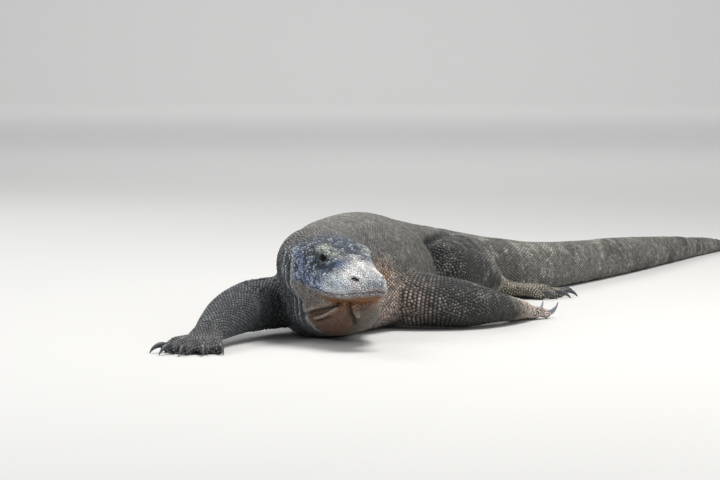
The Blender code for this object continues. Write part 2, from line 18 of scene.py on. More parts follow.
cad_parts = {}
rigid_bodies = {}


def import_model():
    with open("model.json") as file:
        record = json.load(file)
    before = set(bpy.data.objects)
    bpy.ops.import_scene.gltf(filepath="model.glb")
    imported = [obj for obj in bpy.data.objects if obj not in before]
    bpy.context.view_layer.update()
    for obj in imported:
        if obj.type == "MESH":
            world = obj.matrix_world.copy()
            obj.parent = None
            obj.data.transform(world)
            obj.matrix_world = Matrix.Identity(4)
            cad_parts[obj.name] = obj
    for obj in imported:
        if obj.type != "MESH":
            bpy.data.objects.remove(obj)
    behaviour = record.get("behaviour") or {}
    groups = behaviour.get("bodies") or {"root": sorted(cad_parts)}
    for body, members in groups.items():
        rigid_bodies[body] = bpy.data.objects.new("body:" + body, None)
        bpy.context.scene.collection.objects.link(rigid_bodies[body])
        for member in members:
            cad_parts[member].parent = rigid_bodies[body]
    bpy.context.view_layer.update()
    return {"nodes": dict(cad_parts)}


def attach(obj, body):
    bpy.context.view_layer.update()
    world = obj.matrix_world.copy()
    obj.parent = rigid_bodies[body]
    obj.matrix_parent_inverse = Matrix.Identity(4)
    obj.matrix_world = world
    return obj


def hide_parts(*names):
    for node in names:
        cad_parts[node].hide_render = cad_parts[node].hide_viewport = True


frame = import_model()
rng = np.random.default_rng(7)

# ---- the body's form
# Trunk, neck, throat and tail: place on the floor plan, half width, top and bottom in
# millimetres, and the share of the height where it is widest
BODY = [
    (-13, -592, 18, 78, 54, 0.50), (-20, -555, 36, 98, 26, 0.48), (-34, -505, 52, 125, 12, 0.42),
    (-54, -445, 64, 157, 4, 0.42), (-62, -380, 72, 168, -4, 0.42), (-48, -310, 88, 170, -4, 0.40),
    (-26, -230, 100, 172, -4, 0.38), (-16, -120, 110, 167, -5, 0.36), (-10, 0, 120, 159, -5, 0.32),
    (10, 120, 93, 148, -5, 0.34), (64, 240, 92, 130, -5, 0.36), (138, 350, 84, 110, -5, 0.42),
    (222, 440, 64, 92, -5, 0.45), (318, 580, 48, 77, -4, 0.45), (462, 900, 34, 65, -3, 0.42),
    (628, 1320, 18, 39, -2, 0.40), (715, 1520, 9, 22, -1, 0.40), (762, 1620, 3, 8, 0, 0.50),
]
BODY = np.array(BODY) / (1000, 1000, 1000, 1000, 1000, 1)
# Head in its own axes, in tenths of a millimetre: distance behind the tip of the snout, half
# width, crown, widest level and chin above the lips' line at the tip. Last, how round the
# upper half is
HEAD = [
    (0, 260, 180, -10, -90, 1.00), (280, 315, 255, -40, -185, 0.96),
    (570, 345, 310, -80, -300, 0.88), (850, 390, 365, -100, -420, 0.74),
    (1100, 440, 405, -100, -520, 0.62), (1420, 520, 440, -80, -590, 0.82),
    (1700, 560, 455, -80, -610, 1.00), (2070, 575, 430, -90, -590, 1.04),
    (2380, 460, 320, -110, -480, 1.04), (2660, 220, 100, -120, -280, 1.00),
]
HEAD = np.array(HEAD) / (10000, 10000, 10000, 10000, 10000, 1)
CHIN_ROUND = 0.85  # how round the lower half of the head is
SNOUT_ROUND = 0.026  # the snout is rounded off over this length
HEAD_TIP = Vector((0.0079, -0.650, 0.0832))
HEAD_YAW, HEAD_PITCH, HEAD_ROLL = math.radians(24.5), math.radians(11.5), math.radians(1.5)
# Swellings and hollows of the head: distance behind the tip, degrees round the head from the
# side, height, reach along the head, and spread in degrees
HEAD_FORMS = [
    (0.105, 48, 0.0055, 0.018, 13),
    (0.103, 31, -0.0035, 0.013, 14),
    (0.074, 44, 0.0018, 0.024, 13),
    (0.060, 90, -0.0030, 0.028, 24),
    (0.082, 22, -0.0025, 0.020, 16),
    (0.165, -6, 0.0045, 0.022, 34),
    (0.022, 52, 0.0015, 0.012, 20),
]
# Height of the lips' line, by the distance behind the tip
LIP_LINE = [(-0.02, 0.002), (0, 0), (0.012, -0.0030), (0.030, -0.0095), (0.057, -0.0175),
            (0.085, -0.0215), (0.113, -0.0215), (0.140, -0.0185)]
# Places in the head's axes, with half lengths and half heights
EYE_RADIUS = 0.0095
EYE_BEHIND, EYE_SIDE, EYE_UP = 0.1025, 0.0304, 0.0245
EYE_LOOK = (-0.42, 0.90, 0.10)  # which way the right eye faces, in the head's axes
NOSTRIL, NOSTRIL_LONG, NOSTRIL_HIGH = (0.0220, 0.0222, 0.0138), 0.0068, 0.0024
NOSTRIL_SLANT = math.radians(6)
EAR, EAR_LONG, EAR_HIGH = (0.176, 0.0590, 0.001), 0.0035, 0.0080


def in_metres(*rows):
    """Stations of a limb, from x, y, z, half width and half height in millimetres."""
    return [((x / 1000, y / 1000, z / 1000), wide / 1000, high / 1000) for x, y, z, wide, high in rows]


ARM_RIGHT = in_metres(
    (-70, -285, 56, 46, 45), (-120, -345, 48, 42, 38), (-168, -425, 48, 38, 37),
    (-197, -495, 42, 34, 32), (-216, -560, 32, 26, 24), (-225, -603, 25, 22, 17),
)
ARM_LEFT = in_metres(
    (25, -250, 52, 54, 45), (83, -270, 44, 50, 40), (138, -268, 38, 42, 36),
    (183, -226, 30, 33, 26), (212, -186, 24, 25, 19), (229, -149, 20, 23, 16),
)
LEG_LEFT = in_metres(
    (140, 330, 60, 54, 48), (146, 235, 64, 46, 45), (124, 140, 62, 41, 42),
    (170, 208, 50, 38, 36), (195, 262, 35, 30, 26), (208, 306, 26, 24, 19),
)
LEG_RIGHT = in_metres(
    (105, 370, 60, 54, 48), (25, 335, 66, 48, 46), (-58, 272, 64, 42, 42),
    (-84, 320, 49, 38, 36), (-98, 376, 35, 30, 26), (-106, 420, 26, 24, 19),
)
# Limb, heading on the floor plan in degrees from +X, palm length, toe lengths, fan of the toes
# in degrees, side of the body, and whether the palm is up
FEET = {
    "hand_right": (ARM_RIGHT, 252, 0.036, (0.040, 0.052, 0.060, 0.056, 0.044), 64, -1, False),
    "hand_left": (ARM_LEFT, 84, 0.036, (0.040, 0.052, 0.058, 0.054, 0.042), 72, 1, True),
    "foot_left": (LEG_LEFT, 8, 0.052, (0.040, 0.056, 0.070, 0.080, 0.050), 62, 1, False),
    "foot_right": (LEG_RIGHT, 118, 0.052, (0.040, 0.056, 0.070, 0.080, 0.050), 84, -1, False),
}
TOE_RADIUS, PALM_HALF_HEIGHT = 0.0085, 0.0125
CLAW_LENGTH, CLAW_RADIUS, CLAW_TIP, CLAW_BURIED = 0.030, 0.0046, 0.0007, 0.005

# ---- how fine the skin and its scales are
RING = 64  # points round a tube
SKIN_VOXEL = 0.0041
SKIN_KEPT = 0.32  # share of the triangles kept away from the head and feet
COAT_DEPTH = 0.0009  # the skin lies this far inside the solids
FLOOR_CLEAR = 0.0007  # below this height the skin is pressed flat
SKIN_LOWEST, SCALES_LOWEST = 0.0004, 0.0002
# Spacing of the scales along the tubes and across them
BODY_PITCH, BODY_ACROSS, FOOT_PITCH, PALM_ACROSS = 0.0050, 0.0052, 0.0042, 0.0044
CATCH, TOE_CATCH = 0.0045, 0.0030  # rows farther than this from the skin are inside other flesh
SPREAD = 360000  # random places tried between the rows of scales and on the head
HEAD_DENSITY = 4.0  # how much denser those places are on the head
HEAD_BACK, HEAD_WIDE, HEAD_LOW = 0.215, 0.092, -0.130  # where the head's own scales end
# Half length, half width and height of a scale for its width of skin
SCALE_LONG, SCALE_WIDE, SCALE_HIGH = 0.66, 0.575, 0.28
# How much of its place a scale fills: the skin shows between those of the limbs and neck
HEAD_FILL, BODY_FILL, LIMB_FILL, NECK_LESS = 0.98, 0.95, 0.81, 0.15

# ---- curves and lofts
def eased(xs, ys, at):
    """Monotone cubic through (xs, ys) at the given places. ys may have several columns."""
    xs, ys, at = np.asarray(xs, float), np.asarray(ys, float), np.asarray(at, float)
    if ys.ndim == 1:
        return eased(xs, ys[:, None], at)[:, 0]
    step = np.diff(xs)[:, None]
    slope = np.diff(ys, axis=0) / step
    inner = np.zeros_like(slope[1:])
    same = slope[1:] * slope[:-1] > 0
    first, second = 2 * step[1:] + step[:-1], step[1:] + 2 * step[:-1]
    mean = (first + second) / (
        first / np.where(same, slope[:-1], 1) + second / np.where(same, slope[1:], 1)
    )
    inner[same] = mean[same]
    tangent = np.vstack([slope[:1], inner, slope[-1:]])
    i = np.clip(np.searchsorted(xs, at) - 1, 0, len(xs) - 2)
    h = step[i]
    t = ((at - xs[i])[:, None]) / h
    return (
        (1 + 2 * t) * (1 - t) ** 2 * ys[i]
        + t * (1 - t) ** 2 * h * tangent[i]
        + t**2 * (3 - 2 * t) * ys[i + 1]
        + t**2 * (t - 1) * h * tangent[i + 1]
    )


def smooth_path(points, at):
    """Catmull-Rom curve through the points, at shares 0 to 1 of their chord length."""
    p = np.asarray(points, float)
    chord = distances_along(p)
    chord /= chord[-1]
    ends = np.vstack([2 * p[0] - p[1], p, 2 * p[-1] - p[-2]])
    i = np.clip(np.searchsorted(chord, at) - 1, 0, len(p) - 2)
    span = np.diff(chord)[i]
    t = ((at - chord[i]) / span)[:, None]
    a, b, c, d = ends[i], ends[i + 1], ends[i + 2], ends[i + 3]
    return 0.5 * (
        2 * b + (c - a) * t + (2 * a - 5 * b + 4 * c - d) * t**2 + (3 * b - a - 3 * c + d) * t**3
    )


def distances_along(path):
    """How far along the path each of its places lies, from 0."""
    return np.r_[0, np.cumsum(np.linalg.norm(np.diff(path, axis=0), axis=1))]


def unit(vectors, least=0.0):
    """The vectors with length 1. None is divided by less than the least length."""
    lengths = np.linalg.norm(vectors, axis=1)
    return vectors / np.maximum(lengths, least)[:, None]


def signed_power(value, power):
    """The value's size to the power, with the value's own sign."""
    return np.sign(value) * np.abs(value) ** power


def ring_angles():
    return np.arange(RING) * (2 * math.pi / RING)


def linked(name, data):
    """A new object of the scene that shows the mesh, lamp or camera."""
    obj = bpy.data.objects.new(name, data)
    bpy.context.scene.collection.objects.link(obj)
    return obj


def linked_mesh(name, bm):
    """A new smooth object of the scene from a bmesh, which is freed."""
    mesh = bpy.data.meshes.new(name)
    bm.to_mesh(mesh)
    bm.free()
    mesh.shade_smooth()
    return linked(name, mesh)


def new_object(name, points, faces):
    """Mesh object from an array of points and an array of faces with the same number of corners."""
    mesh = bpy.data.meshes.new(name)
    faces = np.asarray(faces, np.int32)
    count, corners = faces.shape
    mesh.vertices.add(len(points))
    mesh.vertices.foreach_set("co", np.asarray(points, np.float32).ravel())
    mesh.loops.add(count * corners)
    mesh.loops.foreach_set("vertex_index", faces.ravel())
    mesh.polygons.add(count)
    mesh.polygons.foreach_set("loop_start", np.arange(count, dtype=np.int32) * corners)
    mesh.update(calc_edges=True)
    mesh.shade_smooth()
    return linked(name, mesh)


def loft(rings):
    """(points, quads, the two end rings) of a tube through the rings."""
    rings = np.asarray(rings)
    rows, count = rings.shape[:2]
    near = np.arange(count)
    far = (near + 1) % count
    quads = []
    for k in range(rows - 1):
        low, high = k * count, (k + 1) * count
        quads.append(np.column_stack([low + near, low + far, high + far, high + near]))
    return rings.reshape(-1, 3), np.vstack(quads), (near[::-1], near + (rows - 1) * count)


def add_loft(bm, rings):
    points, quads, ends = loft(rings)
    verts = [bm.verts.new(p) for p in points]
    faces = [bm.faces.new([verts[i] for i in quad]) for quad in quads]
    faces += [bm.faces.new([verts[i] for i in end]) for end in ends]
    bmesh.ops.recalc_face_normals(bm, faces=faces)


def body_rings(count=160):
    """Rings of the trunk, neck, throat and tail."""
    share = np.linspace(0, 1, count)
    plan = smooth_path(BODY[:, :2], share)
    chord = distances_along(BODY[:, :2])
    half, top, bottom, widest = eased(chord / chord[-1], BODY[:, 2:], share).T
    along = unit(np.gradient(plan, axis=0))
    middle = bottom + widest * (top - bottom)
    t = ring_angles()
    rings = []
    for k in range(count):
        across = half[k] * signed_power(np.cos(t), 0.95)
        up = np.where(
            np.sin(t) > 0,
            (top[k] - middle[k]) * signed_power(np.sin(t), 0.98),
            (middle[k] - bottom[k]) * signed_power(np.sin(t), 0.62),
        )
        side = np.array([along[k][1], -along[k][0]])
        flat = plan[k] + across[:, None] * side
        rings.append(np.column_stack([flat, middle[k] + up]))
    return rings


def head_matrix():
    """Axes of the head: X backwards from the tip of the snout, Y to its right, Z up."""
    level = math.cos(HEAD_PITCH)
    ahead = (math.sin(HEAD_YAW) * level, -math.cos(HEAD_YAW) * level, -math.sin(HEAD_PITCH))
    forward = Vector(ahead)
    left = forward.cross(Vector((0, 0, 1))).normalized() * -1
    left.rotate(Matrix.Rotation(-HEAD_ROLL, 3, forward))
    up = forward.cross(left)
    axes = Matrix((-forward, -left, up)).transposed().to_4x4()
    return Matrix.Translation(HEAD_TIP) @ axes


HEAD_AXES = np.array(head_matrix())


def to_head(points):
    """World points in the head's axes."""
    return (np.asarray(points) - HEAD_AXES[:3, 3]) @ HEAD_AXES[:3, :3]


def from_head(points):
    """Places in the head's axes as world points."""
    return np.asarray(points) @ HEAD_AXES[:3, :3].T + HEAD_AXES[:3, 3]


def mirrored(local):
    """The places with those of the head's left side moved over to its right side."""
    return local * (1, 0, 1) + np.abs(local) * (0, 1, 0)


def head_rings(count=90):
    """Rings of the head from just behind the tip of the snout, closer there than at the back."""
    first = 0.0008
    behind = first + (HEAD[-1, 0] - first) * np.linspace(0, 1, count) ** 1.35
    half, crown, widest, chin, roundness = eased(HEAD[:, 0], HEAD[:, 1:], behind).T
    cap = np.sqrt(1 - (1 - np.minimum(behind / SNOUT_ROUND, 1)) ** 2)
    t = ring_angles()
    degrees = np.degrees(t)
    rings = []
    for k in range(count):
        above = np.sin(t) > 0
        power = np.where(above, roundness[k], CHIN_ROUND)
        across = half[k] * cap[k] ** 0.8 * signed_power(np.cos(t), power)
        reach = np.where(above, crown[k] - widest[k], widest[k] - chin[k])
        up = reach * cap[k] * signed_power(np.sin(t), power)
        radius = np.hypot(across, up)
        swell = np.zeros(RING)
        for place, angle, height, length, spread in HEAD_FORMS:
            near = height * math.exp(-(((behind[k] - place) / length) ** 2))
            for turned in {angle, 180 - angle}:
                apart = (degrees - turned + 180) % 360 - 180
                swell += near * np.exp(-((apart / spread) ** 2))
        grow = 1 + swell / radius
        local = np.column_stack([np.full(RING, behind[k]), across * grow, widest[k] + up * grow])
        rings.append(from_head(local))
    return rings


def limb_rings(stations, count=60):
    """Rings of a tube through stations of (place, half width, half height)."""
    share = np.linspace(0, 1, count)
    places = np.array([s[0] for s in stations], float)
    path = smooth_path(places, share)
    chord = distances_along(places)
    sizes = eased(chord / chord[-1], [s[1:3] for s in stations], share)
    along = unit(np.gradient(path, axis=0))
    across = unit(np.cross(along, (0, 0, 1)))
    above = np.cross(across, along)
    t = ring_angles()[:, None]
    return [
        path[k] + np.cos(t) * sizes[k, 0] * across[k] + np.sin(t) * sizes[k, 1] * above[k]
        for k in range(count)
    ]


# ---- feet
def on_plan(point, degrees, distance, z):
    """The place at a heading and distance from the point over the floor, at the height z."""
    turn = math.radians(degrees)
    return (point[0] + math.cos(turn) * distance, point[1] + math.sin(turn) * distance, z)


def ray_stations(wrist, heading, *rows):
    """Stations out from the wrist, from rows of distance, height, half width and half height."""
    return [(on_plan(wrist, heading, out, z), wide, high) for out, z, wide, high in rows]


def palm_stations(limb, heading, length):
    wrist = limb[-1][0]
    front = ray_stations(
        wrist, heading,
        (length * 0.55, 0.0165, 0.028, PALM_HALF_HEIGHT),
        (length, 0.0135, 0.026, 0.0105),
        (length + 0.010, 0.012, 0.016, 0.008),
    )
    return [(on_plan(wrist, heading, -0.012, wrist[2]), 0.020, 0.016), (wrist, 0.022, 0.016), *front]


def toe_stations(wrist, heading, palm, length, palm_up):
    """Stations of a toe that is arched at the knuckle and flat at the tip."""
    knuckle = TOE_RADIUS + (0.0035 if palm_up else 0.0050)
    return ray_stations(
        wrist, heading,
        (palm * 0.55, 0.0145, 0.0095, 0.0095),
        (palm + length * 0.20, knuckle + 0.001, 0.0092, 0.0092),
        (palm + length * 0.52, knuckle, 0.0085, 0.0084),
        (palm + length * 0.82, TOE_RADIUS - 0.0008, 0.0080, 0.0080),
        (palm + length, TOE_RADIUS - 0.0012, 0.0066, 0.0066),
        (palm + length + 0.004, TOE_RADIUS - 0.0012, 0.0038, 0.0038),
    )


def claw_stations(wrist, heading, reach, palm_up):
    """Stations of a claw from inside its toe to its tip, which points up when the palm does."""
    out = (-CLAW_BURIED, 0.25 * CLAW_LENGTH, 0.60 * CLAW_LENGTH, 0.80 * CLAW_LENGTH)
    heights = (0.0095, 0.0100, 0.0160, 0.0240) if palm_up else (0.0100, 0.0115, 0.0075, 0.0015)
    radii = (CLAW_RADIUS, CLAW_RADIUS * 0.86, CLAW_RADIUS * 0.52, CLAW_TIP)
    rows = [(reach + d, z, r * 0.78, r) for d, z, r in zip(out, heights, radii)]
    return ray_stations(wrist, heading, *rows)


def toes_of(foot):
    """(toe stations, claw stations) of each toe, from the inner to the outer one."""
    limb, heading, palm, lengths, fan, side, palm_up = FEET[foot]
    wrist = limb[-1][0]
    made = []
    for k, length in enumerate(lengths):
        turn = side * fan * (k / (len(lengths) - 1) - 0.5)
        turn = -turn if palm_up else turn
        toe = toe_stations(wrist, heading + turn, palm, length, palm_up)
        made.append((toe, claw_stations(wrist, heading + turn, palm + length, palm_up)))
    return made


# ---- numbers over a surface
def noise(points, size, seed=0):
    """Smooth random values from 0 to 1, on a lattice of the given size."""
    p = np.asarray(points, float) / size + 1000.0
    base = np.floor(p).astype(np.int64)
    part = p - base
    part = part * part * (3 - 2 * part)
    total = np.zeros(len(p))
    for corner in itertools.product((0, 1), repeat=3):
        at = base + np.array(corner)
        mixed = at[:, 0] * 374761393 + at[:, 1] * 668265263 + at[:, 2] * 1442695041
        mixed = (mixed + seed * 1274126177) & 0xFFFFFFFF
        mixed = ((mixed ^ (mixed >> 13)) * 1274126177) & 0xFFFFFFFF
        mixed = (mixed ^ (mixed >> 16)) & 0xFFFF
        weight = np.prod(np.where(corner, part, 1 - part), axis=1)
        total += weight * mixed / 65535.0
    return total


def cloudy(points, size, seed=0, octaves=3):
    """Noise of several sizes laid together, from about 0 to 1."""
    total, share = 0.0, 0.5
    for k in range(octaves):
        total = total + share * noise(points, size * 0.5**k, seed + 17 * k)
        share *= 0.5
    return total / (1 - 0.5**octaves)


def ramp(value, low, high):
    """0 below low, 1 above high and smooth between. low may be above high."""
    t = np.clip((value - low) / (high - low), 0, 1)
    return t * t * (3 - 2 * t)


def near_path(points, path):
    """Distance of each point from a line through the places of the path."""
    best = np.full(len(points), np.inf)
    path = np.asarray(path, float)
    for start, end in zip(path, path[1:]):
        step = end - start
        t = np.clip(((points - start) @ step) / (step @ step), 0, 1)
        best = np.minimum(best, np.linalg.norm(points - start - t[:, None] * step, axis=1))
    return best


def gap_to(points, *places):
    """Distance of each point from the line through places given in tenths of a millimetre."""
    return near_path(points, np.array(places) / 10000)


def bell(distance, width):
    """1 at no distance, about a third at the width and next to nothing at twice that."""
    return np.exp(-((distance / width) ** 2))


def table(rows, at):
    """Value at each place from rows of (place, value) in rising order, straight between them."""
    places, values = zip(*rows)
    return np.interp(at, places, values)


# ---- the skin
def tubes_of(foot):
    """(kind, rings) of each tube of a limb: the limb, its palm and its toes."""
    limb, heading, palm, *_rest = FEET[foot]
    made = [("limb", limb_rings(limb)), ("palm", limb_rings(palm_stations(limb, heading, palm), 24))]
    return made + [("toe", limb_rings(toe, 30)) for toe, _claw in toes_of(foot)]


def apply_modifiers(obj):
    graph = bpy.context.evaluated_depsgraph_get()
    obj.data = bpy.data.meshes.new_from_object(obj.evaluated_get(graph))
    obj.modifiers.clear()


def fused_body():
    """All the tubes of flesh as one closed surface."""
    bm = bmesh.new()
    add_loft(bm, body_rings())
    add_loft(bm, head_rings())
    for foot in FEET:
        for _kind, rings in tubes_of(foot):
            add_loft(bm, rings)
    obj = linked_mesh("skin", bm)
    fuse = obj.modifiers.new("fuse", "REMESH")
    fuse.mode, fuse.voxel_size = "VOXEL", SKIN_VOXEL
    soften = obj.modifiers.new("soften", "SMOOTH")
    soften.factor, soften.iterations = 0.5, 3
    apply_modifiers(obj)
    return obj


def lighten(obj, inside):
    """Thins out the mesh where inside(points) is true."""
    plain = obj.vertex_groups.new(name="plain")
    plain.add(np.nonzero(inside(points_of(obj.data)))[0].tolist(), 1.0, "REPLACE")
    thin = obj.modifiers.new("thin", "DECIMATE")
    thin.vertex_group, thin.ratio = plain.name, SKIN_KEPT
    apply_modifiers(obj)
    obj.vertex_groups.clear()


def read(items, field, width, kind=np.int32):
    """The field of all the items of a mesh, as one row of the width for each."""
    values = np.empty(len(items) * width, kind)
    items.foreach_get(field, values)
    return values.reshape(-1, width)


def points_of(mesh):
    return read(mesh.vertices, "co", 3, np.float32).astype(float)


def move_to(mesh, points):
    mesh.vertices.foreach_set("co", points.astype(np.float32).ravel())
    mesh.update()


def triangles_of(mesh):
    mesh.calc_loop_triangles()
    return read(mesh.loop_triangles, "vertices", 3)


def edges_of(mesh):
    return read(mesh.edges, "vertices", 2)


def normals_of(points, triangles):
    """Outward direction at each point, from the faces round it by their area."""
    a, b, c = (points[triangles[:, k]] for k in range(3))
    flat = np.cross(b - a, c - a)
    total = np.zeros_like(points)
    for corner in range(3):
        for axis in range(3):
            total[:, axis] += np.bincount(triangles[:, corner], flat[:, axis], len(points))
    return unit(total, 1e-12)


def relaxed(points, edges, share, times):
    """The points moved towards the middle of their neighbours by the share, which may vary."""
    share = np.broadcast_to(np.asarray(share, float), len(points))[:, None]
    count = np.bincount(edges.ravel(), minlength=len(points))[:, None]
    for _turn in range(times):
        total = np.zeros_like(points)
        for axis in range(3):
            total[:, axis] = np.bincount(edges[:, 0], points[edges[:, 1], axis], len(points))
            total[:, axis] += np.bincount(edges[:, 1], points[edges[:, 0], axis], len(points))
        points = points + share * (total / np.maximum(count, 1) - points)
    return points


def refine(obj, inside):
    """Splits the faces in four where inside(points) is true, and rounds what was split."""
    flags = inside(points_of(obj.data))
    bm = bmesh.new()
    bm.from_mesh(obj.data)
    bm.verts.ensure_lookup_table()
    edges = [e for e in bm.edges if flags[e.verts[0].index] and flags[e.verts[1].index]]
    bmesh.ops.subdivide_edges(bm, edges=edges, cuts=1, use_grid_fill=True)
    ragged = [f for f in bm.faces if len(f.verts) > 4]
    bmesh.ops.triangulate(bm, faces=ragged)
    bm.to_mesh(obj.data)
    bm.free()
    points = points_of(obj.data)
    share = np.where(inside(points), 0.5, 0.0)
    move_to(obj.data, relaxed(points, edges_of(obj.data), share, 2))


def eye_centre(side):
    """Centre of an eye in the head's axes. side is -1 on the left and 1 on the right."""
    return np.array([EYE_BEHIND, side * EYE_SIDE, EYE_UP])


def eye_axes(side):
    """Three columns: which way the eye looks, towards the back of its slit, and up."""
    look = np.array([EYE_LOOK[0], side * EYE_LOOK[1], EYE_LOOK[2]])
    look /= np.linalg.norm(look)
    back = np.array([1.0, 0, 0]) - look[0] * look
    back /= np.linalg.norm(back)
    up = np.cross(look, back) * -side
    return np.column_stack([look, back, up])


def around_eye(local, side):
    """Degrees behind and above the middle of the eye's opening, and distance from its centre."""
    out = (local - eye_centre(side)) @ eye_axes(side)
    reach = np.linalg.norm(out, axis=1)
    behind = np.degrees(np.arctan2(out[:, 1], out[:, 0]))
    above = np.degrees(np.arcsin(np.clip(out[:, 2] / np.maximum(reach, 1e-9), -1, 1)))
    return behind, above, reach


OPEN_BEHIND, OPEN_ABOVE, OPEN_BELOW = 38.0, 25.0, 27.0  # half widths of the opening, degrees


def lid_ring(behind, above):
    """1 on the rim of the lids, less inside the opening and more outside. Pointed at its ends."""
    tall = np.where(above > 0, OPEN_ABOVE, OPEN_BELOW)
    return (np.abs(behind / OPEN_BEHIND) ** 1.7 + np.abs(above / tall) ** 1.7) ** (1 / 1.7)


# Folds of the head and throat in the head's axes, in tenths of a millimetre: height (below 0 for a
# crease), width, places, and whether both sides have it (1) or only one (0)
BROW_SLIT = [(1155, 262, 385), (1100, 200, 395)]
BROW_RIM = [(1185, 262, 400), (1130, 200, 410)]
FOLDS = [
    # ridge over the eye, and the fold that runs down behind it
    (16, 40, [(760, 310, 340), (940, 375, 375), (1120, 400, 370), (1260, 415, 330)], 1),
    (-34, 34, [(1340, 415, 310), (1260, 420, 260), (1180, 420, 200), (1080, 400, 140)], 1),
    (16, 35, [(1390, 430, 240), (1290, 440, 180), (1190, 430, 110)], 1),
    # little slit on the brow
    (-16, 12, BROW_SLIT, 0),
    (8, 18, BROW_RIM, 0),
    # crease below and in front of the eye
    (-20, 26, [(1060, 395, 95), (970, 389, 95), (856, 352, 150), (760, 310, 220), (700, 260, 270)], 1),
    (12, 30, [(1000, 400, 40), (880, 370, 90), (760, 340, 160)], 1),
    # grooves of the snout
    (-8, 16, [(700, 330, 130), (520, 310, 110), (360, 300, 90)], 1),
    (-7, 14, [(780, 365, 30), (560, 335, 10), (360, 315, 10)], 1),
    (-10, 18, [(120, 0, 200), (350, 0, 255), (700, 0, 310)], 0),
    # folds of the throat under the jaw, each deep crease with a rim above it
    (-100, 28, [(1600, 292, -765), (1548, 286, -740), (1375, 271, -644), (1061, 223, -515),
              (808, 177, -404), (720, 160, -370)], 0),
    (45, 28, [(1571, 292, -708), (1400, 275, -618), (1145, 242, -506), (820, 230, -365)], 0),
    (-40, 20, [(1341, 255, -710), (1147, 228, -630), (960, 193, -528), (833, 175, -444)], 0),
    (45, 26, [(1350, 240, -756), (1152, 222, -668), (1002, 199, -573), (830, 170, -450)], 0),
    (-55, 30, [(1360, 230, -798), (1158, 215, -710), (1006, 190, -625)], 0),
    (-95, 34, [(585, 71, -335), (606, 54, -422), (640, 21, -498), (673, -45, -561),
              (780, -130, -700)], 0),
    (45, 32, [(568, -10, -345), (578, -34, -441), (621, -90, -520)], 0),
    (22, 40, [(640, 130, -390), (700, 90, -500), (780, 60, -620)], 0),
    (-30, 26, [(1500, -330, -700), (1200, -280, -600), (950, -220, -480)], 0),
]


def raise_folds(push, points, both, folds):
    """The push with the folds added, each from its height, width, places and sides."""
    for height, width, path, sides in folds:
        push = push + height / 10000 * bell(gap_to(both if sides else points, *path), width / 10000)
    return push


def above_lips(local):
    """Height above the lips' line, which arches a little under the nose."""
    a, b, c = local.T
    mouth = eased(*zip(*LIP_LINE), np.clip(a, -0.02, 0.14))
    return c - mouth - 0.0022 * bell(b + 0.003, 0.009) * ramp(a, 0.030, 0.012)


# Back edge of the jaw: height, and distance behind the tip
JAW_BACK = [(-0.0743, 0.1600), (-0.0647, 0.1640), (-0.0525, 0.1639), (-0.0350, 0.1605),
            (-0.0174, 0.1565), (-0.0060, 0.1585), (0.0071, 0.1635), (0.0153, 0.1770), (0.0204, 0.1857)]
RUFFLE = 0.0135  # from one upright fold of the neck to the next


def between_cheeks(aside):
    """1 within the head's width, and 0 beyond it."""
    return ramp(np.abs(aside), 0.092, 0.078)


def neck_ruffles(local):
    """Upright folds of the neck behind the jaw: how strong they are, and 1 on their crests."""
    a, b, c = local.T
    behind = a - table(JAW_BACK, c)
    behind = behind + 0.010 * (cloudy(local, 0.035, 51, 2) - 0.5) * ramp(behind, 0.0, 0.010)
    strong = ramp(behind, -0.006, -0.001) * ramp(behind, 0.056, 0.020)
    strong = strong * (0.45 + 1.0 * noise(local, 0.022, 52))
    strong = strong * ramp(c, 0.030, 0.010) * ramp(c, -0.115, -0.090)
    strong = strong * ramp(np.abs(b), 0.018, 0.030) * between_cheeks(b)
    return strong, np.cos(behind * (2 * math.pi / RUFFLE))


def sculpt_head(points, normals):
    """Where the skin of the head goes: folds, lips, lids, nostrils and ears."""
    local = to_head(points)
    both = mirrored(local)
    a, b, c = local.T
    strong, crest = neck_ruffles(local)
    push = raise_folds(strong * (0.0021 * crest - 0.0006), local, both, FOLDS)
    # lips: a groove, with the upper lip standing out over it
    over = above_lips(local)
    push += (ramp(a, 0.147, 0.135) * ramp(a, -0.03, -0.01)) * (
        -0.0024 * bell(over, 0.0012)
        + 0.0008 * bell(over - 0.0035, 0.0030)
        + 0.0006 * bell(over + 0.0035, 0.0022)
        - 0.0012 * bell(over + 0.0080, 0.0024) * ramp(a, 0.030, 0.050)
        + 0.0018 * bell(over + 0.0070, 0.0050) * ramp(a, 0.030, 0.010)
    )
    # mouth corner: a short soft fold behind it
    push -= 0.0018 * bell(gap_to(both, (1400, 540, -185), (1520, 580, -240)), 0.0028)
    # ears: upright slits
    ear = both - np.array(EAR)
    slit = np.hypot(ear[:, 0] / EAR_LONG, ear[:, 2] / EAR_HIGH)
    push -= np.where(ear[:, 1] > -0.02, 0.0050 * bell(slit, 0.75), 0)
    push += np.where(ear[:, 1] > -0.02, 0.0016 * bell(slit - 1.6, 0.5), 0)
    # uneven flesh
    push += 0.0012 * (cloudy(local, 0.020, 3) - 0.5) + 0.0006 * (noise(local, 0.006, 4) - 0.5)
    fade = ramp(a, 0.26, 0.20) * ramp(c, -0.13, -0.11) * between_cheeks(b)
    points = points + normals * (push * fade)[:, None]
    # nostrils: slanting oval pits with a raised rim
    oval = nostril_oval(mirrored(to_head(points)))
    deep = -0.0090 * ramp(oval, 1.10, 0.60) + 0.0011 * bell(oval - 1.5, 0.4)
    return lids(points + normals * deep[:, None])


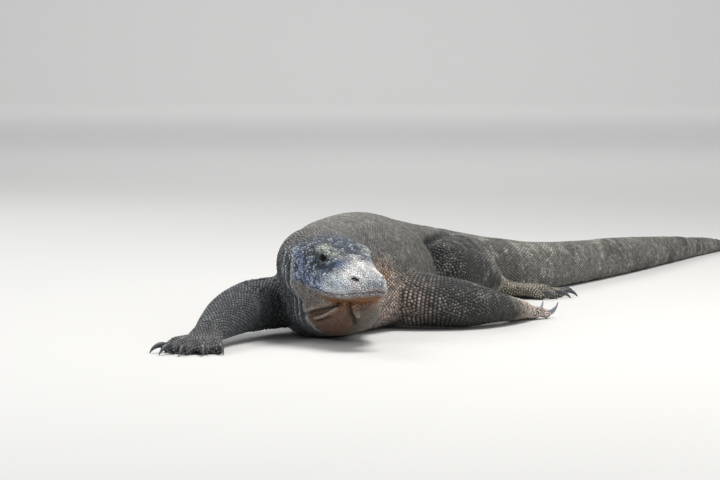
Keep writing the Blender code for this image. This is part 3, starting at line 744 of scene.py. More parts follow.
def nostril_oval(both):
    """1 on the edge of the nostril, less inside it and much more away from the skin there. The
    nostril slants down towards the tip."""
    a, b, c = (both - np.array(NOSTRIL)).T
    lengthways = a * math.cos(NOSTRIL_SLANT) + c * math.sin(NOSTRIL_SLANT)
    upwards = c * math.cos(NOSTRIL_SLANT) - a * math.sin(NOSTRIL_SLANT)
    return np.hypot(lengthways / NOSTRIL_LONG, upwards / NOSTRIL_HIGH) + 9 * (np.abs(b) > 0.012)


def lids(points):
    """Lids that hug each eyeball, open on it, and sink into the socket outside."""
    for side in (-1, 1):
        local = to_head(points)
        behind, above, reach = around_eye(local, side)
        ring = lid_ring(behind, above)
        close = (reach < 0.024) & (np.abs(behind) < 100)
        rim = 0.0013 * bell(ring - 1.17, 0.13) - 0.0009 * bell(ring - 1.50, 0.13)
        lid = EYE_RADIUS + 0.0010 + rim + 0.0006 * bell(ring - 1.80, 0.15)
        hidden = EYE_RADIUS - 0.0022
        target = hidden + (lid - hidden) * ramp(ring, 0.86, 1.04)
        share = ramp(ring, 2.15, 1.35) * close
        wanted = reach + share * (target - reach)
        wanted = np.where(ring > 1.03, np.maximum(wanted, EYE_RADIUS + 0.0009), wanted)
        out = (local - eye_centre(side)) / np.maximum(reach, 1e-9)[:, None]
        moved = eye_centre(side) + out * wanted[:, None]
        points = np.where(close[:, None], from_head(moved), points)
    return points


def body_line():
    """Points along the middle of the body on the floor plan, and their distances along it."""
    plan = smooth_path(BODY[:, :2], np.linspace(0, 1, 500))
    return plan, distances_along(plan)


BODY_PLAN, BODY_RUN = body_line()


def along_body(points):
    """Distance along the body's middle line, and how far to its left, of each point."""
    nearest = np.empty(len(points), int)
    block = 20000  # few enough at a time to keep the table of distances small
    for start in range(0, len(points), block):
        off = points[start : start + block, None, :2] - BODY_PLAN[None]
        nearest[start : start + block] = (off**2).sum(axis=2).argmin(axis=1)
    ahead = unit(np.gradient(BODY_PLAN, axis=0)[nearest])
    off = points[:, :2] - BODY_PLAN[nearest]
    run = BODY_RUN[nearest] + (off * ahead).sum(axis=1)
    return run, off[:, 0] * ahead[:, 1] - off[:, 1] * ahead[:, 0]


# Folds where the limbs bend or join the body, listed like the head's but at places of the world
THIGH_EDGE = [(820, 1050, 400), (840, 1040, 700), (880, 1120, 920), (990, 1500, 1040),
              (1120, 2050, 1060), (1240, 2650, 1020)]
LIMB_FOLDS = [
    (-40, 50, [(650, -3120, 900), (620, -3300, 600), (580, -3350, 300)], 0),
    (-35, 60, [(850, -2050, 1000), (1050, -2150, 700), (1150, -2050, 300)], 0),
    (-45, 50, [(-1250, -3050, 900), (-1350, -3200, 500), (-1300, -3250, 200)], 0),
    (-35, 50, [(-900, -3850, 850), (-1050, -4000, 500), (-1050, -4050, 150)], 0),
    (-30, 45, [(1660, -2470, 660), (1760, -2590, 400), (1700, -2650, 100)], 0),
    (-25, 45, [(-1500, -4700, 700), (-1550, -4750, 300), (-1600, -4700, 100)], 0),
    (-60, 60, THIGH_EDGE, 0),
    (-35, 50, [(1700, 2900, 900), (1820, 2850, 600), (1900, 3000, 300)], 0),
]


def sculpt_body(points, normals):
    """Loose skin: folds round the neck, before and behind the limbs, and along the flanks."""
    run, left = along_body(points)
    a, z = to_head(points)[:, 0], points[:, 2]
    low = ramp(z, 0.150, 0.085)
    wander = 0.020 * (cloudy(points, 0.05, 11) - 0.5)
    # neck: rings that fade over the nape
    waves = np.sin((run + wander) * (2 * math.pi / 0.021))
    neck = ramp(a, 0.178, 0.200) * ramp(run, 0.40, 0.27)
    torso = ramp(np.abs(left), 0.135, 0.115)
    push = 0.0022 * neck * low * torso * (np.abs(waves) * 1.6 - 1.0)
    # flanks: shallow folds
    flank = ramp(run, 0.40, 0.50) * ramp(run, 1.05, 0.90) * torso
    push += 0.0012 * flank * low * np.sin((run + wander * 1.5) * (2 * math.pi / 0.045))
    push += 0.0016 * flank * bell(z - 0.052 - wander * 0.6, 0.010)
    push -= 0.0022 * flank * bell(z - 0.036 - wander * 0.6, 0.007)
    # all over: slight unevenness of the flesh
    push += 0.0022 * (cloudy(points, 0.060, 12) - 0.5) * ramp(a, 0.17, 0.24)
    return points + normals * raise_folds(push, points, points, LIMB_FOLDS)[:, None]


def near_head(points):
    a, b, c = to_head(points).T
    return (a < 0.190) & (c > -0.135) & (np.abs(b) < 0.085)


def on_head(points):
    """Where the head has scales of its own, rather than those of the neck."""
    a, b, c = to_head(points).T
    return (a < HEAD_BACK) & (np.abs(b) < HEAD_WIDE) & (c > HEAD_LOW)


def foot_middle(foot):
    """Place at the roots of a foot's toes."""
    limb, heading, palm, lengths, *_rest = FEET[foot]
    return on_plan(limb[-1][0], heading, palm + max(lengths) / 2, 0.012)


def on_feet(points):
    close = np.zeros(len(points), bool)
    for foot, (_limb, _heading, palm, lengths, *_rest) in FEET.items():
        reach = palm + max(lengths) * 0.75
        close |= np.linalg.norm(points - foot_middle(foot), axis=1) < reach
    return close & (points[:, 2] < 0.032)


def by_openings(local, eye, nostril):
    """True within the given distances of an eye's centre or of a nostril."""
    eyes = np.minimum(*(np.linalg.norm(local - eye_centre(side), axis=1) for side in (-1, 1)))
    nose = np.linalg.norm(mirrored(local) - np.array(NOSTRIL), axis=1)
    return (eyes < eye) | (nose < nostril)


def by_details(points):
    """The eyes, nostrils, lips and the folds of the throat."""
    local = to_head(points)
    a, b, c = local.T
    aside = np.abs(b)
    lips = (np.abs(above_lips(local)) < 0.0045) & (a < 0.148) & (aside < 0.075)
    throat = (c < -0.035) & (aside < 0.05) & (a < 0.17) & (a > 0.05)
    return by_openings(local, 0.020, 0.012) | lips | throat


def shaped_skin():
    """The skin, finest where there is most to shape, and set inside the solids."""
    obj = fused_body()
    lighten(obj, lambda points: ~near_head(points) & ~on_feet(points))
    for region in (near_head, on_feet, by_details, lambda p: by_openings(to_head(p), 0.0165, 0.0080)):
        refine(obj, region)
    edges, triangles = edges_of(obj.data), triangles_of(obj.data)
    points = relaxed(points_of(obj.data), edges, 0.5, 2)
    points = points - normals_of(points, triangles) * COAT_DEPTH
    points = sculpt_body(points, normals_of(points, triangles))
    points = sculpt_head(points, normals_of(points, triangles))
    local = to_head(points)
    throat = ramp(above_lips(local), -0.016, -0.022) * ramp(local[:, 0], 0.175, 0.160)
    points = relaxed(points, edges, 0.35 * throat * (np.abs(local[:, 1]) < 0.06), 2)
    height = points[:, 2]
    pressed = FLOOR_CLEAR + 0.02 * (height - FLOOR_CLEAR)
    points[:, 2] = np.maximum(np.where(height < FLOOR_CLEAR, pressed, height), SKIN_LOWEST)
    move_to(obj.data, points)
    obj.data.shade_smooth()
    return obj


# ---- markings
def tints(*rows):
    """Linear colours, from rows of red, green and blue in thousandths."""
    return np.array(rows) / 1000


TRUNK, TRUNK_DARK, TRUNK_PALE = tints((105, 103, 92), (50, 49, 45), (215, 207, 186))
# the third of the limbs' colours is painted shade, for their undersides and the crease along the thigh
LEG, LEG_PALE, PAINTED_LEG_SHADE = tints((38, 38, 39), (175, 171, 165), (16, 16, 16))
DUSTY, PALM, NECK = tints((310, 280, 225), (560, 465, 425), (78, 86, 98))
SLATE, SLATE_DARK, SLATE_PALE = tints((58, 74, 98), (26, 33, 50), (400, 450, 510))
# the first of these is whitish dust, whitened further as painted light on the snout
DUST_AND_PAINTED_LIGHT, DUST_BLUE, DUST_DARK = tints((780, 770, 755), (700, 755, 820), (230, 250, 285))
# the blue of the cheeks is made lighter as painted light where they lie in shade
NOSE, CHEEK, FLUSH = tints((165, 192, 212), (190, 260, 430), (600, 440, 380))
# the near black of these is for round the eyes and for painted shade in the nostrils, slits, folds and
# ruffles
BROW, LID_AND_SHADE_BLACK, YELLOW = tints((430, 465, 420), (10, 10, 12), (480, 440, 250))
COBALT, COBALT_PALE = tints((80, 140, 290), (300, 420, 440))
LIP, LIP_EDGE, PINK = tints((290, 290, 290), (90, 50, 30), (450, 350, 305))
JAW, JAW_DARK, JAW_PALE = tints((225, 208, 188), (60, 54, 48), (400, 380, 350))
# the jaw's two orange bands are partly painted reflected light on the lower jaw's edge
JAW_BAND, UNDER_BAND, ORANGE = tints((170, 60, 9), (230, 100, 32), (420, 265, 150))
# the throat's brown is darkened partly as painted shade under the jaw
THROAT, THROAT_FAR = tints((142, 70, 35), (120, 112, 92))
# the last two are painted highlight on the rims of the throat's folds and painted shade in their
# creases
PALE_EDGE, PAINTED_FOLD_HIGHLIGHT, PAINTED_FOLD_SHADE = tints((400, 420, 440), (680, 540, 440), (12, 7, 5))
# Upper edge of the throat's colour below the lips' line, by the distance behind the tip
FIRST_FOLD = [(0.060, -0.0180), (0.0849, -0.0208), (0.105, -0.0296), (0.1241, -0.0384),
              (0.1426, -0.0490), (0.160, -0.0590)]
# The throat's middle fold: height, and how far it lies to the right
THROAT_FOLD = [(-0.09, -0.020), (-0.0608, -0.0046), (-0.0535, 0.0005), (-0.0411, 0.0058),
               (-0.0318, 0.0083)]
# Where some markings run, in tenths of a millimetre: the first three in the head's axes, the
# last in the world's
GULAR_EDGE = [(1600, 480, -400), (1646, 377, -602), (1645, 305, -691), (1600, 290, -775),
              (1490, 205, -895), (1550, 50, -1030)]
# the fold behind and below the eye, where painted shadow goes
EYE_FOLD_SHADOW = [(1380, 415, 340), (1260, 420, 260), (1160, 410, 180), (1060, 395, 95), (856, 352, 150),
            (760, 310, 220)]
# dark spots in the folds by the eye, which are painted shadow
EYE_SHADOW_SPOTS = [
    [(1340, 417, 295), (1270, 422, 263)],
    [(1159, 434, 152), (1182, 453, 104)],
    [(1150, 402, 250), (1060, 394, 180), (985, 395, 145)],
]
FAR_NECK = [(300, -4000, 750), (400, -3400, 450)]


def layered(base, *layers):
    """The base colour with tints laid over it in turn, each by its share at each place."""
    colour = base
    for tint, share in layers:
        colour = colour + (tint - colour) * np.clip(share, 0, 1)[:, None]
    return colour


def near_folds(local, lowest, highest):
    """Distance from the nearest fold of the head whose height is between the two."""
    paths = [path for height, _width, path, _sides in FOLDS if lowest < height < highest]
    return np.min([gap_to(local, *path) for path in paths], axis=0)


def slate_head(local, both, chance, patch, wisp):
    """The head's blue-grey ground, mottled dark and pale."""
    _a, b, c = local.T
    # blue of the lower cheeks, lightened as painted light where they lie in shade
    cheek = ramp(c, 0.028, 0.006) * ramp(patch, 0.68, 0.44) * (0.5 + 0.5 * ramp(b, -0.03, 0.01))
    below_eye = gap_to(both, (1180, 450, 40), (1000, 410, -20), (860, 375, 20))
    pale = ramp(chance, 0.46, 0.90) * (0.35 + 0.65 * ramp(wisp, 0.40, 0.58))
    return layered(
        SLATE,
        (CHEEK, cheek),
        (SLATE_DARK, 0.8 * ramp(patch, 0.48, 0.66)),
        (SLATE_DARK, 0.7 * bell(below_eye, 0.0075)),
        (NECK, 0.5 * ramp(wisp, 0.50, 0.70)),
        (SLATE_DARK, 0.8 * ramp(chance, 0.36, 0.10)),
        (SLATE_PALE, (0.88 - 0.30 * ramp(c, 0.020, 0.035)) * pale),
    )


def snout_markings(colour, local, both, chance, patch, wisp):
    """Whitish dust in streaks over the snout and the upper lip, whitened further as painted light,
    most on the snout's lower right side, with blue by the nose.
    """
    a, b, c = local.T
    cheek = ramp(c, 0.018, 0.004)
    edge = 0.070 + 0.022 * (patch - 0.5) + 0.026 * (wisp - 0.5) + 0.020 * cheek
    edge = edge - 0.004 * ramp(b, -0.004, -0.018)
    snout = ramp(a, edge + 0.012 + 0.012 * cheek, edge - 0.011 - 0.010 * cheek)
    streak = cloudy(both * (0.22, 1, 1), 0.0068, 33, 2)
    # thicker white on the lower right side of the snout, partly painted light
    thick = -0.10 + 0.50 * ramp(c, 0.020, 0.006) * (b > 0) + 1.9 * streak
    thick = thick - 0.35 * (chance > 0.80) + 0.5 * ramp(c, 0.010, 0.024)
    white = layered(DUST_AND_PAINTED_LIGHT, (DUST_BLUE, ramp(c, 0.016, 0.002)))
    lip = bell(above_lips(local) - 0.0045, 0.0040)
    flush = gap_to(both, (260, 245, 60), (100, 195, 50))
    cobalt = gap_to(both, (860, 345, 165), (740, 308, 215), (673, 260, 255))
    cobalt = bell(cobalt, 0.0072) * (0.3 + 0.7 * (b > 0))
    nose = bell(np.hypot((a - 0.005) / 0.016, (b + 0.004) / 0.022), 1.0) * ramp(c, 0.022, 0.011)
    return layered(
        colour,
        (layered(DUST_DARK, (white, thick)), snout * (0.60 + 0.40 * ramp(streak, 0.3, 0.6))),
        (DUST_BLUE, 0.7 * lip * ramp(a, 0.142, 0.090) * ramp(chance, 0.2, 0.8)),
        (FLUSH, 0.60 * bell(flush, 0.0065) * (0.5 + 0.5 * wisp) * (b > 0)),
        (COBALT, 0.90 * cobalt),
        (COBALT_PALE, 0.65 * cobalt * ramp(chance, 0.62, 0.92)),
        (NOSE, 1.1 * nose * (0.55 + 0.7 * chance)),
    )


def eye_markings(colour, local, both, chance, wisp):
    """The brow, and dark round the eye, with painted shadow in the folds by it and painted shade in
    the nostril.
    """
    brow = gap_to(both, (1180, 357, 354), (1030, 330, 350), (910, 300, 323))
    mottle = np.clip(0.35 + 1.1 * chance - 0.5 * ramp(wisp, 0.54, 0.68), 0, 1)
    lore = gap_to(both, (920, 370, 60), (780, 340, 120))
    flecks = gap_to(both, (1320, 458, 210), (1157, 425, 160))
    eye = np.linalg.norm(both - np.array((0.0985, 0.0395, 0.0245)), axis=1)
    behind, above, reach = around_eye(both, 1)
    lid = bell(lid_ring(behind, above) - 1.80, 0.28) * ramp(above, -4, -18) * ramp(reach, 0.018, 0.014)
    return layered(
        colour,
        (BROW, bell(brow, 0.0105) * mottle),
        (YELLOW, 0.9 * bell(gap_to(local, *BROW_RIM), 0.0020)),
        # painted shadow in the slit on the brow
        (LID_AND_SHADE_BLACK, bell(gap_to(local, *BROW_SLIT), 0.0018)),
        (SLATE_DARK, 0.75 * bell(lore, 0.0050) * ramp(chance, 0.95, 0.60)),
        (BROW, 0.8 * bell(flecks, 0.0045) * ramp(chance, 0.5, 0.8)),
        # painted shadow in the fold behind and below the eye
        (SLATE_DARK, 0.95 * bell(gap_to(both, *EYE_FOLD_SHADOW), 0.0046)),
        # painted shadow in spots along the folds by the eye
        *((LID_AND_SHADE_BLACK, 0.85 * bell(gap_to(both, *spot), 0.0036)) for spot in EYE_SHADOW_SPOTS),
        (SLATE_PALE, 0.85 * lid * (0.4 + 0.8 * chance)),
        (LID_AND_SHADE_BLACK, bell(eye, 0.0072) * (1 - 0.7 * lid)),
        # painted shade in the nostrils
        (LID_AND_SHADE_BLACK, ramp(nostril_oval(both), 1.15, 0.85)),
    )


def jaw_markings(colour, local, both, chance, wisp):
    """Lips, the orange-brown edge of the lower jaw, which is partly painted reflected light, and the
    throat, darkened partly as painted shade, with painted shade in the creases of its folds and
    painted highlight on their rims.
    """
    a, b, c = local.T
    over = above_lips(local)
    front = ramp(a, 0.130, 0.085)
    under = ramp(over, 0.006 - 0.004 * front, -0.012 + 0.006 * front)
    under = np.where(a > 0.07, under, ramp(over, -0.0020, -0.0060))
    jaw = layered(
        JAW,
        (THROAT, 0.35 * wisp),
        (JAW_DARK, 0.65 * ramp(chance, 0.35, 0.05)),
        (JAW_PALE, 0.50 * ramp(chance, 0.70, 1.0)),
    )
    first = table(FIRST_FOLD, a)
    low = ramp(over, first + 0.004, first - 0.005) * ramp(a, 0.172, 0.160)
    # beyond the fold of the throat the skin is grey
    fold = table(THROAT_FOLD, c)
    far = ramp(b, fold + 0.002, fold - 0.006) * ramp(over, -0.020, -0.028)
    below_band = gap_to(local, (820, 200, -385), (636, 125, -364), (585, 72, -350))
    thin_band = gap_to(local, (1080, 410, -305), (933, 341, -328), (812, 268, -339))
    throat = ramp(over, -0.012, -0.020)
    return layered(
        colour,
        (jaw, under),
        (PINK, 0.55 * ramp(a, 0.090, 0.060) * bell(over - 0.0030, 0.0020)),
        (LIP, front * bell(over + 0.0036, 0.0024) * (0.6 + 0.7 * chance)),
        (LIP_EDGE, 0.9 * front * bell(over, 0.0013)),
        # the throat's brown, darkened partly as painted shade under the jaw
        (THROAT, low * (0.7 + 0.3 * wisp) * ramp(both[:, 1], 0.048, 0.034)),
        (THROAT_FAR, far * 0.9),
        # orange bands along the lower jaw's edge, partly painted reflected light
        (UNDER_BAND, 0.85 * bell(below_band, 0.0100)),
        (JAW_BAND, ramp(a, 0.115, 0.066) * bell(over + 0.0108, 0.0052) * (0.90 + 0.4 * wisp)),
        (UNDER_BAND, 0.75 * bell(thin_band, 0.0026) * (0.5 + chance)),
        (PALE_EDGE, 0.85 * bell(gap_to(local, *GULAR_EDGE), 0.0042) * (0.65 + 0.6 * chance)),
        # painted shade in the creases of the throat and painted highlight on their rims
        (PAINTED_FOLD_SHADE, 0.9 * throat * bell(near_folds(local, -1000, -28), 0.0032)),
        (PAINTED_FOLD_HIGHLIGHT, 0.85 * throat * bell(near_folds(local, 40, 1000), 0.0024)),
    )


def head_markings(local, chance):
    """Colour of the head, jaw and throat. chance is a random number from 0 to 1 for each place."""
    both = mirrored(local)
    patch = cloudy(local, 0.020, 32)
    wisp = cloudy(local, 0.009, 34, 2)
    colour = slate_head(local, both, chance, patch, wisp)
    colour = snout_markings(colour, local, both, chance, patch, wisp)
    colour = eye_markings(colour, local, both, chance, wisp)
    return jaw_markings(colour, local, both, chance, wisp)


def markings(points, chance):
    """Linear colour of the hide at each place. Skin and scales take theirs from it alike."""
    local = to_head(points)
    a, b, c = local.T
    x, y, z = points.T
    run, left = along_body(points)
    clouds = cloudy(points, 0.075, 21)
    specks = cloudy(points, 0.016, 22, 2)
    colour = layered(
        TRUNK,
        (TRUNK_DARK, 0.75 * ramp(clouds, 0.48, 0.70)),
        (TRUNK_PALE, 0.55 * ramp(specks, 0.55, 0.72)),
        (TRUNK_PALE, 0.30 * ramp(z, 0.10, 0.17)),
    )
    lighter = 1 - 0.22 * bell(run - 0.50, 0.10) + 0.38 * ramp(run, 0.74, 0.95)
    colour = colour * lighter[:, None]
    # limbs: dark, with dusty hands and feet, and painted shade on the hind limbs, on the undersides,
    # along the thigh and on the right limbs away from the feet
    limb = ramp(np.abs(left), 0.100, 0.130) * ramp(run, 1.30, 1.15)
    thigh = gap_to(points, (1460, 2350, 640), (1240, 1400, 620), (1700, 2080, 500), (2000, 2700, 350))
    limb = np.maximum(limb, ramp(thigh, 0.062, 0.050))
    feet = np.min([np.linalg.norm(points - foot_middle(foot), axis=1) for foot in FEET], axis=0)
    leg = layered(LEG, (LEG_PALE, 0.60 * ramp(specks, 0.46, 0.72) + 0.55 * ramp(chance, 0.6, 1.0)))
    leg = layered(
        # the hind limbs darker, as painted shade
        leg * (1 - 0.16 * ramp(y, 0.0, 0.08))[:, None],
        # painted shade on the limbs' undersides, near the floor
        (PAINTED_LEG_SHADE, 0.8 * ramp(z, 0.040, 0.012)),
        (DUSTY, 0.85 * ramp(feet, 0.150, 0.085) * ramp(specks, 0.20, 0.50)),
    )
    # the right limbs darker away from the feet, as painted shade on that side
    leg = leg * (1 - 0.42 * ramp(x, -0.08, -0.13) * ramp(feet, 0.05, 0.10))[:, None]
    # neck beside and behind the jaw, and the bare palm
    neck = ramp(run, 0.34, 0.20) * ramp(z, 0.165, 0.120)
    beads = gap_to(points, (80, -4350, 1150), (280, -3500, 900))
    strong, crest = neck_ruffles(local)
    palm = near_path(points, [ARM_LEFT[-1][0], foot_middle("hand_left")])
    bare = ramp(y + 0.020 * (specks - 0.5), -0.180, -0.155)
    colour = layered(
        colour,
        (leg, 0.92 * limb),
        # painted shadow in the crease along the top of the thigh
        (PAINTED_LEG_SHADE, 0.9 * bell(gap_to(points, *THIGH_EDGE), 0.010)),
        (NECK, 0.8 * neck),
        (PINK, (0.45 + 0.95 * chance) * bell(gap_to(points, *FAR_NECK), 0.042)),
        (ORANGE, 0.8 * chance * bell(beads, 0.018)),
        # pale on the ruffles' crests, and painted shade in the troughs between them
        (PALE_EDGE, strong * ramp(crest, 0.40, 0.90) * (0.60 + 0.45 * chance)),
        (LID_AND_SHADE_BLACK, 0.75 * strong * ramp(crest, -0.3, -0.9)),
        (PALM, 0.9 * ramp(palm, 0.080, 0.060) * bare),
    )
    # the head, up to the nape and the back edge of the jaw, which is pale
    past_jaw = a - table(JAW_BACK, c)
    head = ramp(a, 0.205, 0.170) * ramp(c, -0.135, -0.125) * between_cheeks(b)
    crown = ramp(a + 0.020 * (clouds - 0.5), 0.185, 0.125) ** ramp(c, 0.020, 0.040)
    head = head * crown * ramp(past_jaw, 0.005, -0.005) ** ramp(c, 0.022, 0.008)
    jaw = bell(past_jaw + 0.001, 0.0026) * ramp(c, 0.024, 0.012) * ramp(c, -0.10, -0.075)
    jaw = jaw * between_cheeks(b) * ramp(np.abs(b), 0.015, 0.025)
    return layered(colour, (head_markings(local, chance), head), (PALE_EDGE, 0.85 * jaw))


# ---- scales
ROW_GROWTH = 1.13  # a row has this many times as many scales as the next size of row


def rows_over(rings, along, across):
    """Staggered places over a tube: points, directions along it, and shares along and round it."""
    rings = np.asarray(rings)
    rings = np.concatenate([rings, rings[:, :1]], axis=1)
    run = distances_along(rings[:, :-1].mean(axis=1))
    count = max(2, int(run[-1] / along))
    found = []
    for row in range(count):
        at = (row + 0.5) / count * run[-1]
        i = min(np.searchsorted(run, at, side="right") - 1, len(run) - 2)
        t = (at - run[i]) / (run[i + 1] - run[i])
        ring, ahead = rings[i] * (1 - t) + rings[i + 1] * t, rings[i + 1] - rings[i]
        arc = distances_along(ring)
        steps = round(math.log(arc[-1] / across) / math.log(ROW_GROWTH))
        around = max(6, round(ROW_GROWTH**steps))
        spots = (np.arange(around) + 0.5 * (row % 2)) / around * arc[-1]
        there = [np.column_stack([np.interp(spots, arc, v) for v in each.T]) for each in (ring, ahead)]
        found.append((*there, np.column_stack([np.full(around, at / run[-1]), spots / arc[-1]])))
    return [np.vstack(column) for column in zip(*found)]


class Hide:
    """The finished skin, for finding the nearest place on it."""

    def __init__(self, obj):
        self.points = points_of(obj.data)
        self.triangles = triangles_of(obj.data)
        self.normals = normals_of(self.points, self.triangles)
        self.normals = unit(relaxed(self.normals, edges_of(obj.data), 0.5, 2))
        self.tree = BVHTree.FromPolygons(self.points.tolist(), self.triangles.tolist())

    def snap(self, places):
        """Nearest points of the skin, the outward directions there, and how far they were."""
        found = [self.tree.find_nearest(p) for p in places.tolist()]
        spots = np.array([f[0] for f in found])
        corners = self.triangles[[f[2] for f in found]]
        out = unit(self.normals[corners].mean(axis=1))
        return spots, out, np.array([f[3] for f in found])

    def spread(self, count):
        """Random places all over the skin."""
        a, b, c = (self.points[self.triangles[:, k]] for k in range(3))
        area = np.linalg.norm(np.cross(b - a, c - a), axis=1)
        area = area * np.where(on_head(a), HEAD_DENSITY, 1.0)
        pick = rng.choice(len(area), count, p=area / area.sum())
        u, v = rng.random(count), rng.random(count)
        flip = u + v > 1
        u, v = np.where(flip, 1 - u, u)[:, None], np.where(flip, 1 - v, v)[:, None]
        return a[pick] + (b - a)[pick] * u + (c - a)[pick] * v


def kd_of(points):
    """Tree for finding the nearest of the points."""
    tree = KDTree(len(points))
    for k, p in enumerate(points.tolist()):
        tree.insert(p, k)
    tree.balance()
    return tree


def thinned(points, spacing):
    """Which points to keep so that each stays the given distance from those kept before."""
    cell = float(spacing.max())
    keys = np.floor(points / cell).astype(int).tolist()
    places, limits = points.tolist(), (spacing**2).tolist()
    grid, kept = {}, []
    around = list(itertools.product((-1, 0, 1), repeat=3))
    for k, (x, y, z) in enumerate(places):
        i, j, m = keys[k]
        if all(
            (x - ox) ** 2 + (y - oy) ** 2 + (z - oz) ** 2 >= limits[k]
            for di, dj, dm in around
            for ox, oy, oz in grid.get((i + di, j + dj, m + dm), ())
        ):
            grid.setdefault((i, j, m), []).append((x, y, z))
            kept.append(k)
    return np.array(kept, int)


def head_pitch(points):
    """Spacing of the scales on the head: small by the eyes and lips, larger on the crown."""
    local = to_head(points)
    a, _b, c = local.T
    eye = np.linalg.norm(mirrored(local) - np.array([0.100, 0.0395, 0.0255]), axis=1)
    over = above_lips(local)
    pitch = 0.0034 + 0.0010 * ramp(c, 0.020, 0.036)
    pitch = pitch - 0.0015 * bell(eye, 0.013) + 0.0012 * ramp(a, 0.165, 0.215)
    return pitch - 0.0006 * bell(over, 0.008) - 0.0008 * ramp(over, -0.012, -0.030)


def relax_places(places, pitch, free, hide, times):
    """Evens out the places by letting close neighbours push apart along the skin."""
    for _turn in range(times):
        tree = kd_of(places)
        moved = places.copy()
        for k in np.nonzero(free)[0].tolist():
            others = tree.find_n(places[k].tolist(), 7)[1:]
            away = places[k] - np.array([n[0] for n in others])
            gap = np.array([max(n[2], 1e-6) for n in others])
            force = np.clip(1 - gap / (pitch[k] * 1.12), 0, 1) / gap
            moved[k] += 0.45 * pitch[k] * (away * force[:, None]).sum(axis=0)
        places = places.copy()
        places[free] = hide.snap(moved[free])[0]
    return places


# Names of the body's regions of scales, and how far along the body each ends
BODY_PARTS = {"neck": 0.33, "shoulders": 0.47, "ribs": 0.60, "belly": 0.74, "loin": 0.90,
              "hips": 1.20, "tail": 3.00}
SIDES = 6


def dome_template():
    """A low scale: sunk rim, shoulder and top, as places across and up, and its triangles."""
    angle = np.arange(SIDES) * (2 * math.pi / SIDES)
    rim = np.column_stack([np.cos(angle), np.sin(angle), np.full(SIDES, -0.35)])
    shoulder = np.column_stack([np.cos(angle) * 0.80, np.sin(angle) * 0.80, np.full(SIDES, 0.62)])
    top = np.array([[0.05, 0.0, 1.0]])
    sides = [(k, (k + 1) % SIDES) for k in range(SIDES)]
    faces = [(k, f, SIDES + f) for k, f in sides]
    faces += [(k, SIDES + f, SIDES + k) for k, f in sides]
    faces += [(SIDES + k, SIDES + f, 2 * SIDES) for k, f in sides]
    return np.vstack([rim, shoulder, top]), np.array(faces)


TEMPLATE, TEMPLATE_FACES = dome_template()


def scale_mesh(name, places, ahead, out, size, tone, chance, share):
    """One mesh of many scales. size is half length, half width and height of each."""
    along = unit(ahead - out * (ahead * out).sum(axis=1)[:, None], 1e-9)
    aside = np.cross(out, along)
    local = TEMPLATE[None] * size[:, None, :]
    points = (
        places[:, None]
        + local[:, :, :1] * along[:, None]
        + local[:, :, 1:2] * aside[:, None]
        + local[:, :, 2:] * out[:, None]
    )
    corners = len(TEMPLATE)
    faces = TEMPLATE_FACES[None] + np.arange(len(places))[:, None, None] * corners
    points = points.reshape(-1, 3)
    points[:, 2] = np.maximum(points[:, 2], SCALES_LOWEST)
    obj = new_object(name, points, faces.reshape(-1, 3))
    hue = markings(places, chance) * tone[:, None]
    # painted shade at each scale's sunk rim, rising to a painted highlight on its top
    height = np.repeat(TEMPLATE[None, :, 2], len(places), axis=0)
    painted_shading = 0.10 + 1.10 * ramp(height, -0.1, 1.0)
    add_colours(obj, (hue[:, None] * painted_shading[:, :, None]).reshape(-1, 3))
    patch = share[:, None] * 0.97 + 0.015 + TEMPLATE[None, :, :2] * 0.0015
    add_map(obj, patch.reshape(-1, 2))
    return obj


def add_colours(obj, colours):
    """The attribute "markings", from one linear colour for each point."""
    layer = obj.data.color_attributes.new("markings", "FLOAT_COLOR", "POINT")
    opaque = np.column_stack([colours, np.ones(len(colours))])
    layer.data.foreach_set("color", opaque.astype(np.float32).ravel())


def add_map(obj, places):
    """The map OFBake, from one place for each point."""
    layer = obj.data.uv_layers.new(name="OFBake")
    index = read(obj.data.loops, "vertex_index", 1)[:, 0]
    layer.data.foreach_set("uv", places[index].astype(np.float32).ravel())


def coat_rows(hide):
    """Rows of scales off the head: the tube each is on, its place, direction, spacing, how long
    it is for its width, and its place in the map."""
    groups = []

    def lay(name, rings, along, across, chart, reach=CATCH):
        spots, ahead, share = rows_over(rings, along, across)
        found, _out, far = hide.snap(spots)
        good = far < reach
        low, high = np.array(chart)
        count = good.sum()
        groups.append((
            np.full(count, name), found[good], ahead[good], np.full(count, across),
            np.full(count, along / across), low + share[good] * (high - low),
        ))

    lay("body", body_rings(240), BODY_PITCH, BODY_ACROSS, ((0, 0), (1, 1)))
    for foot in FEET:
        for k, (kind, tube) in enumerate(tubes_of(foot)):
            if kind == "limb":
                lay(foot, tube, BODY_PITCH, BODY_ACROSS, ((0, 0), (0.6, 1)))
            elif kind == "palm":
                lay(foot, tube, FOOT_PITCH, PALM_ACROSS, ((0.6, 0), (1, 0.28)))
            else:
                low = 0.30 + 0.14 * (k - 2)
                lay(foot, tube, FOOT_PITCH, FOOT_PITCH, ((0.6, low), (1, low + 0.13)), TOE_CATCH)
    rows = [np.concatenate(column) for column in zip(*groups)]
    keep = ~on_head(rows[1])
    return [column[keep] for column in rows]


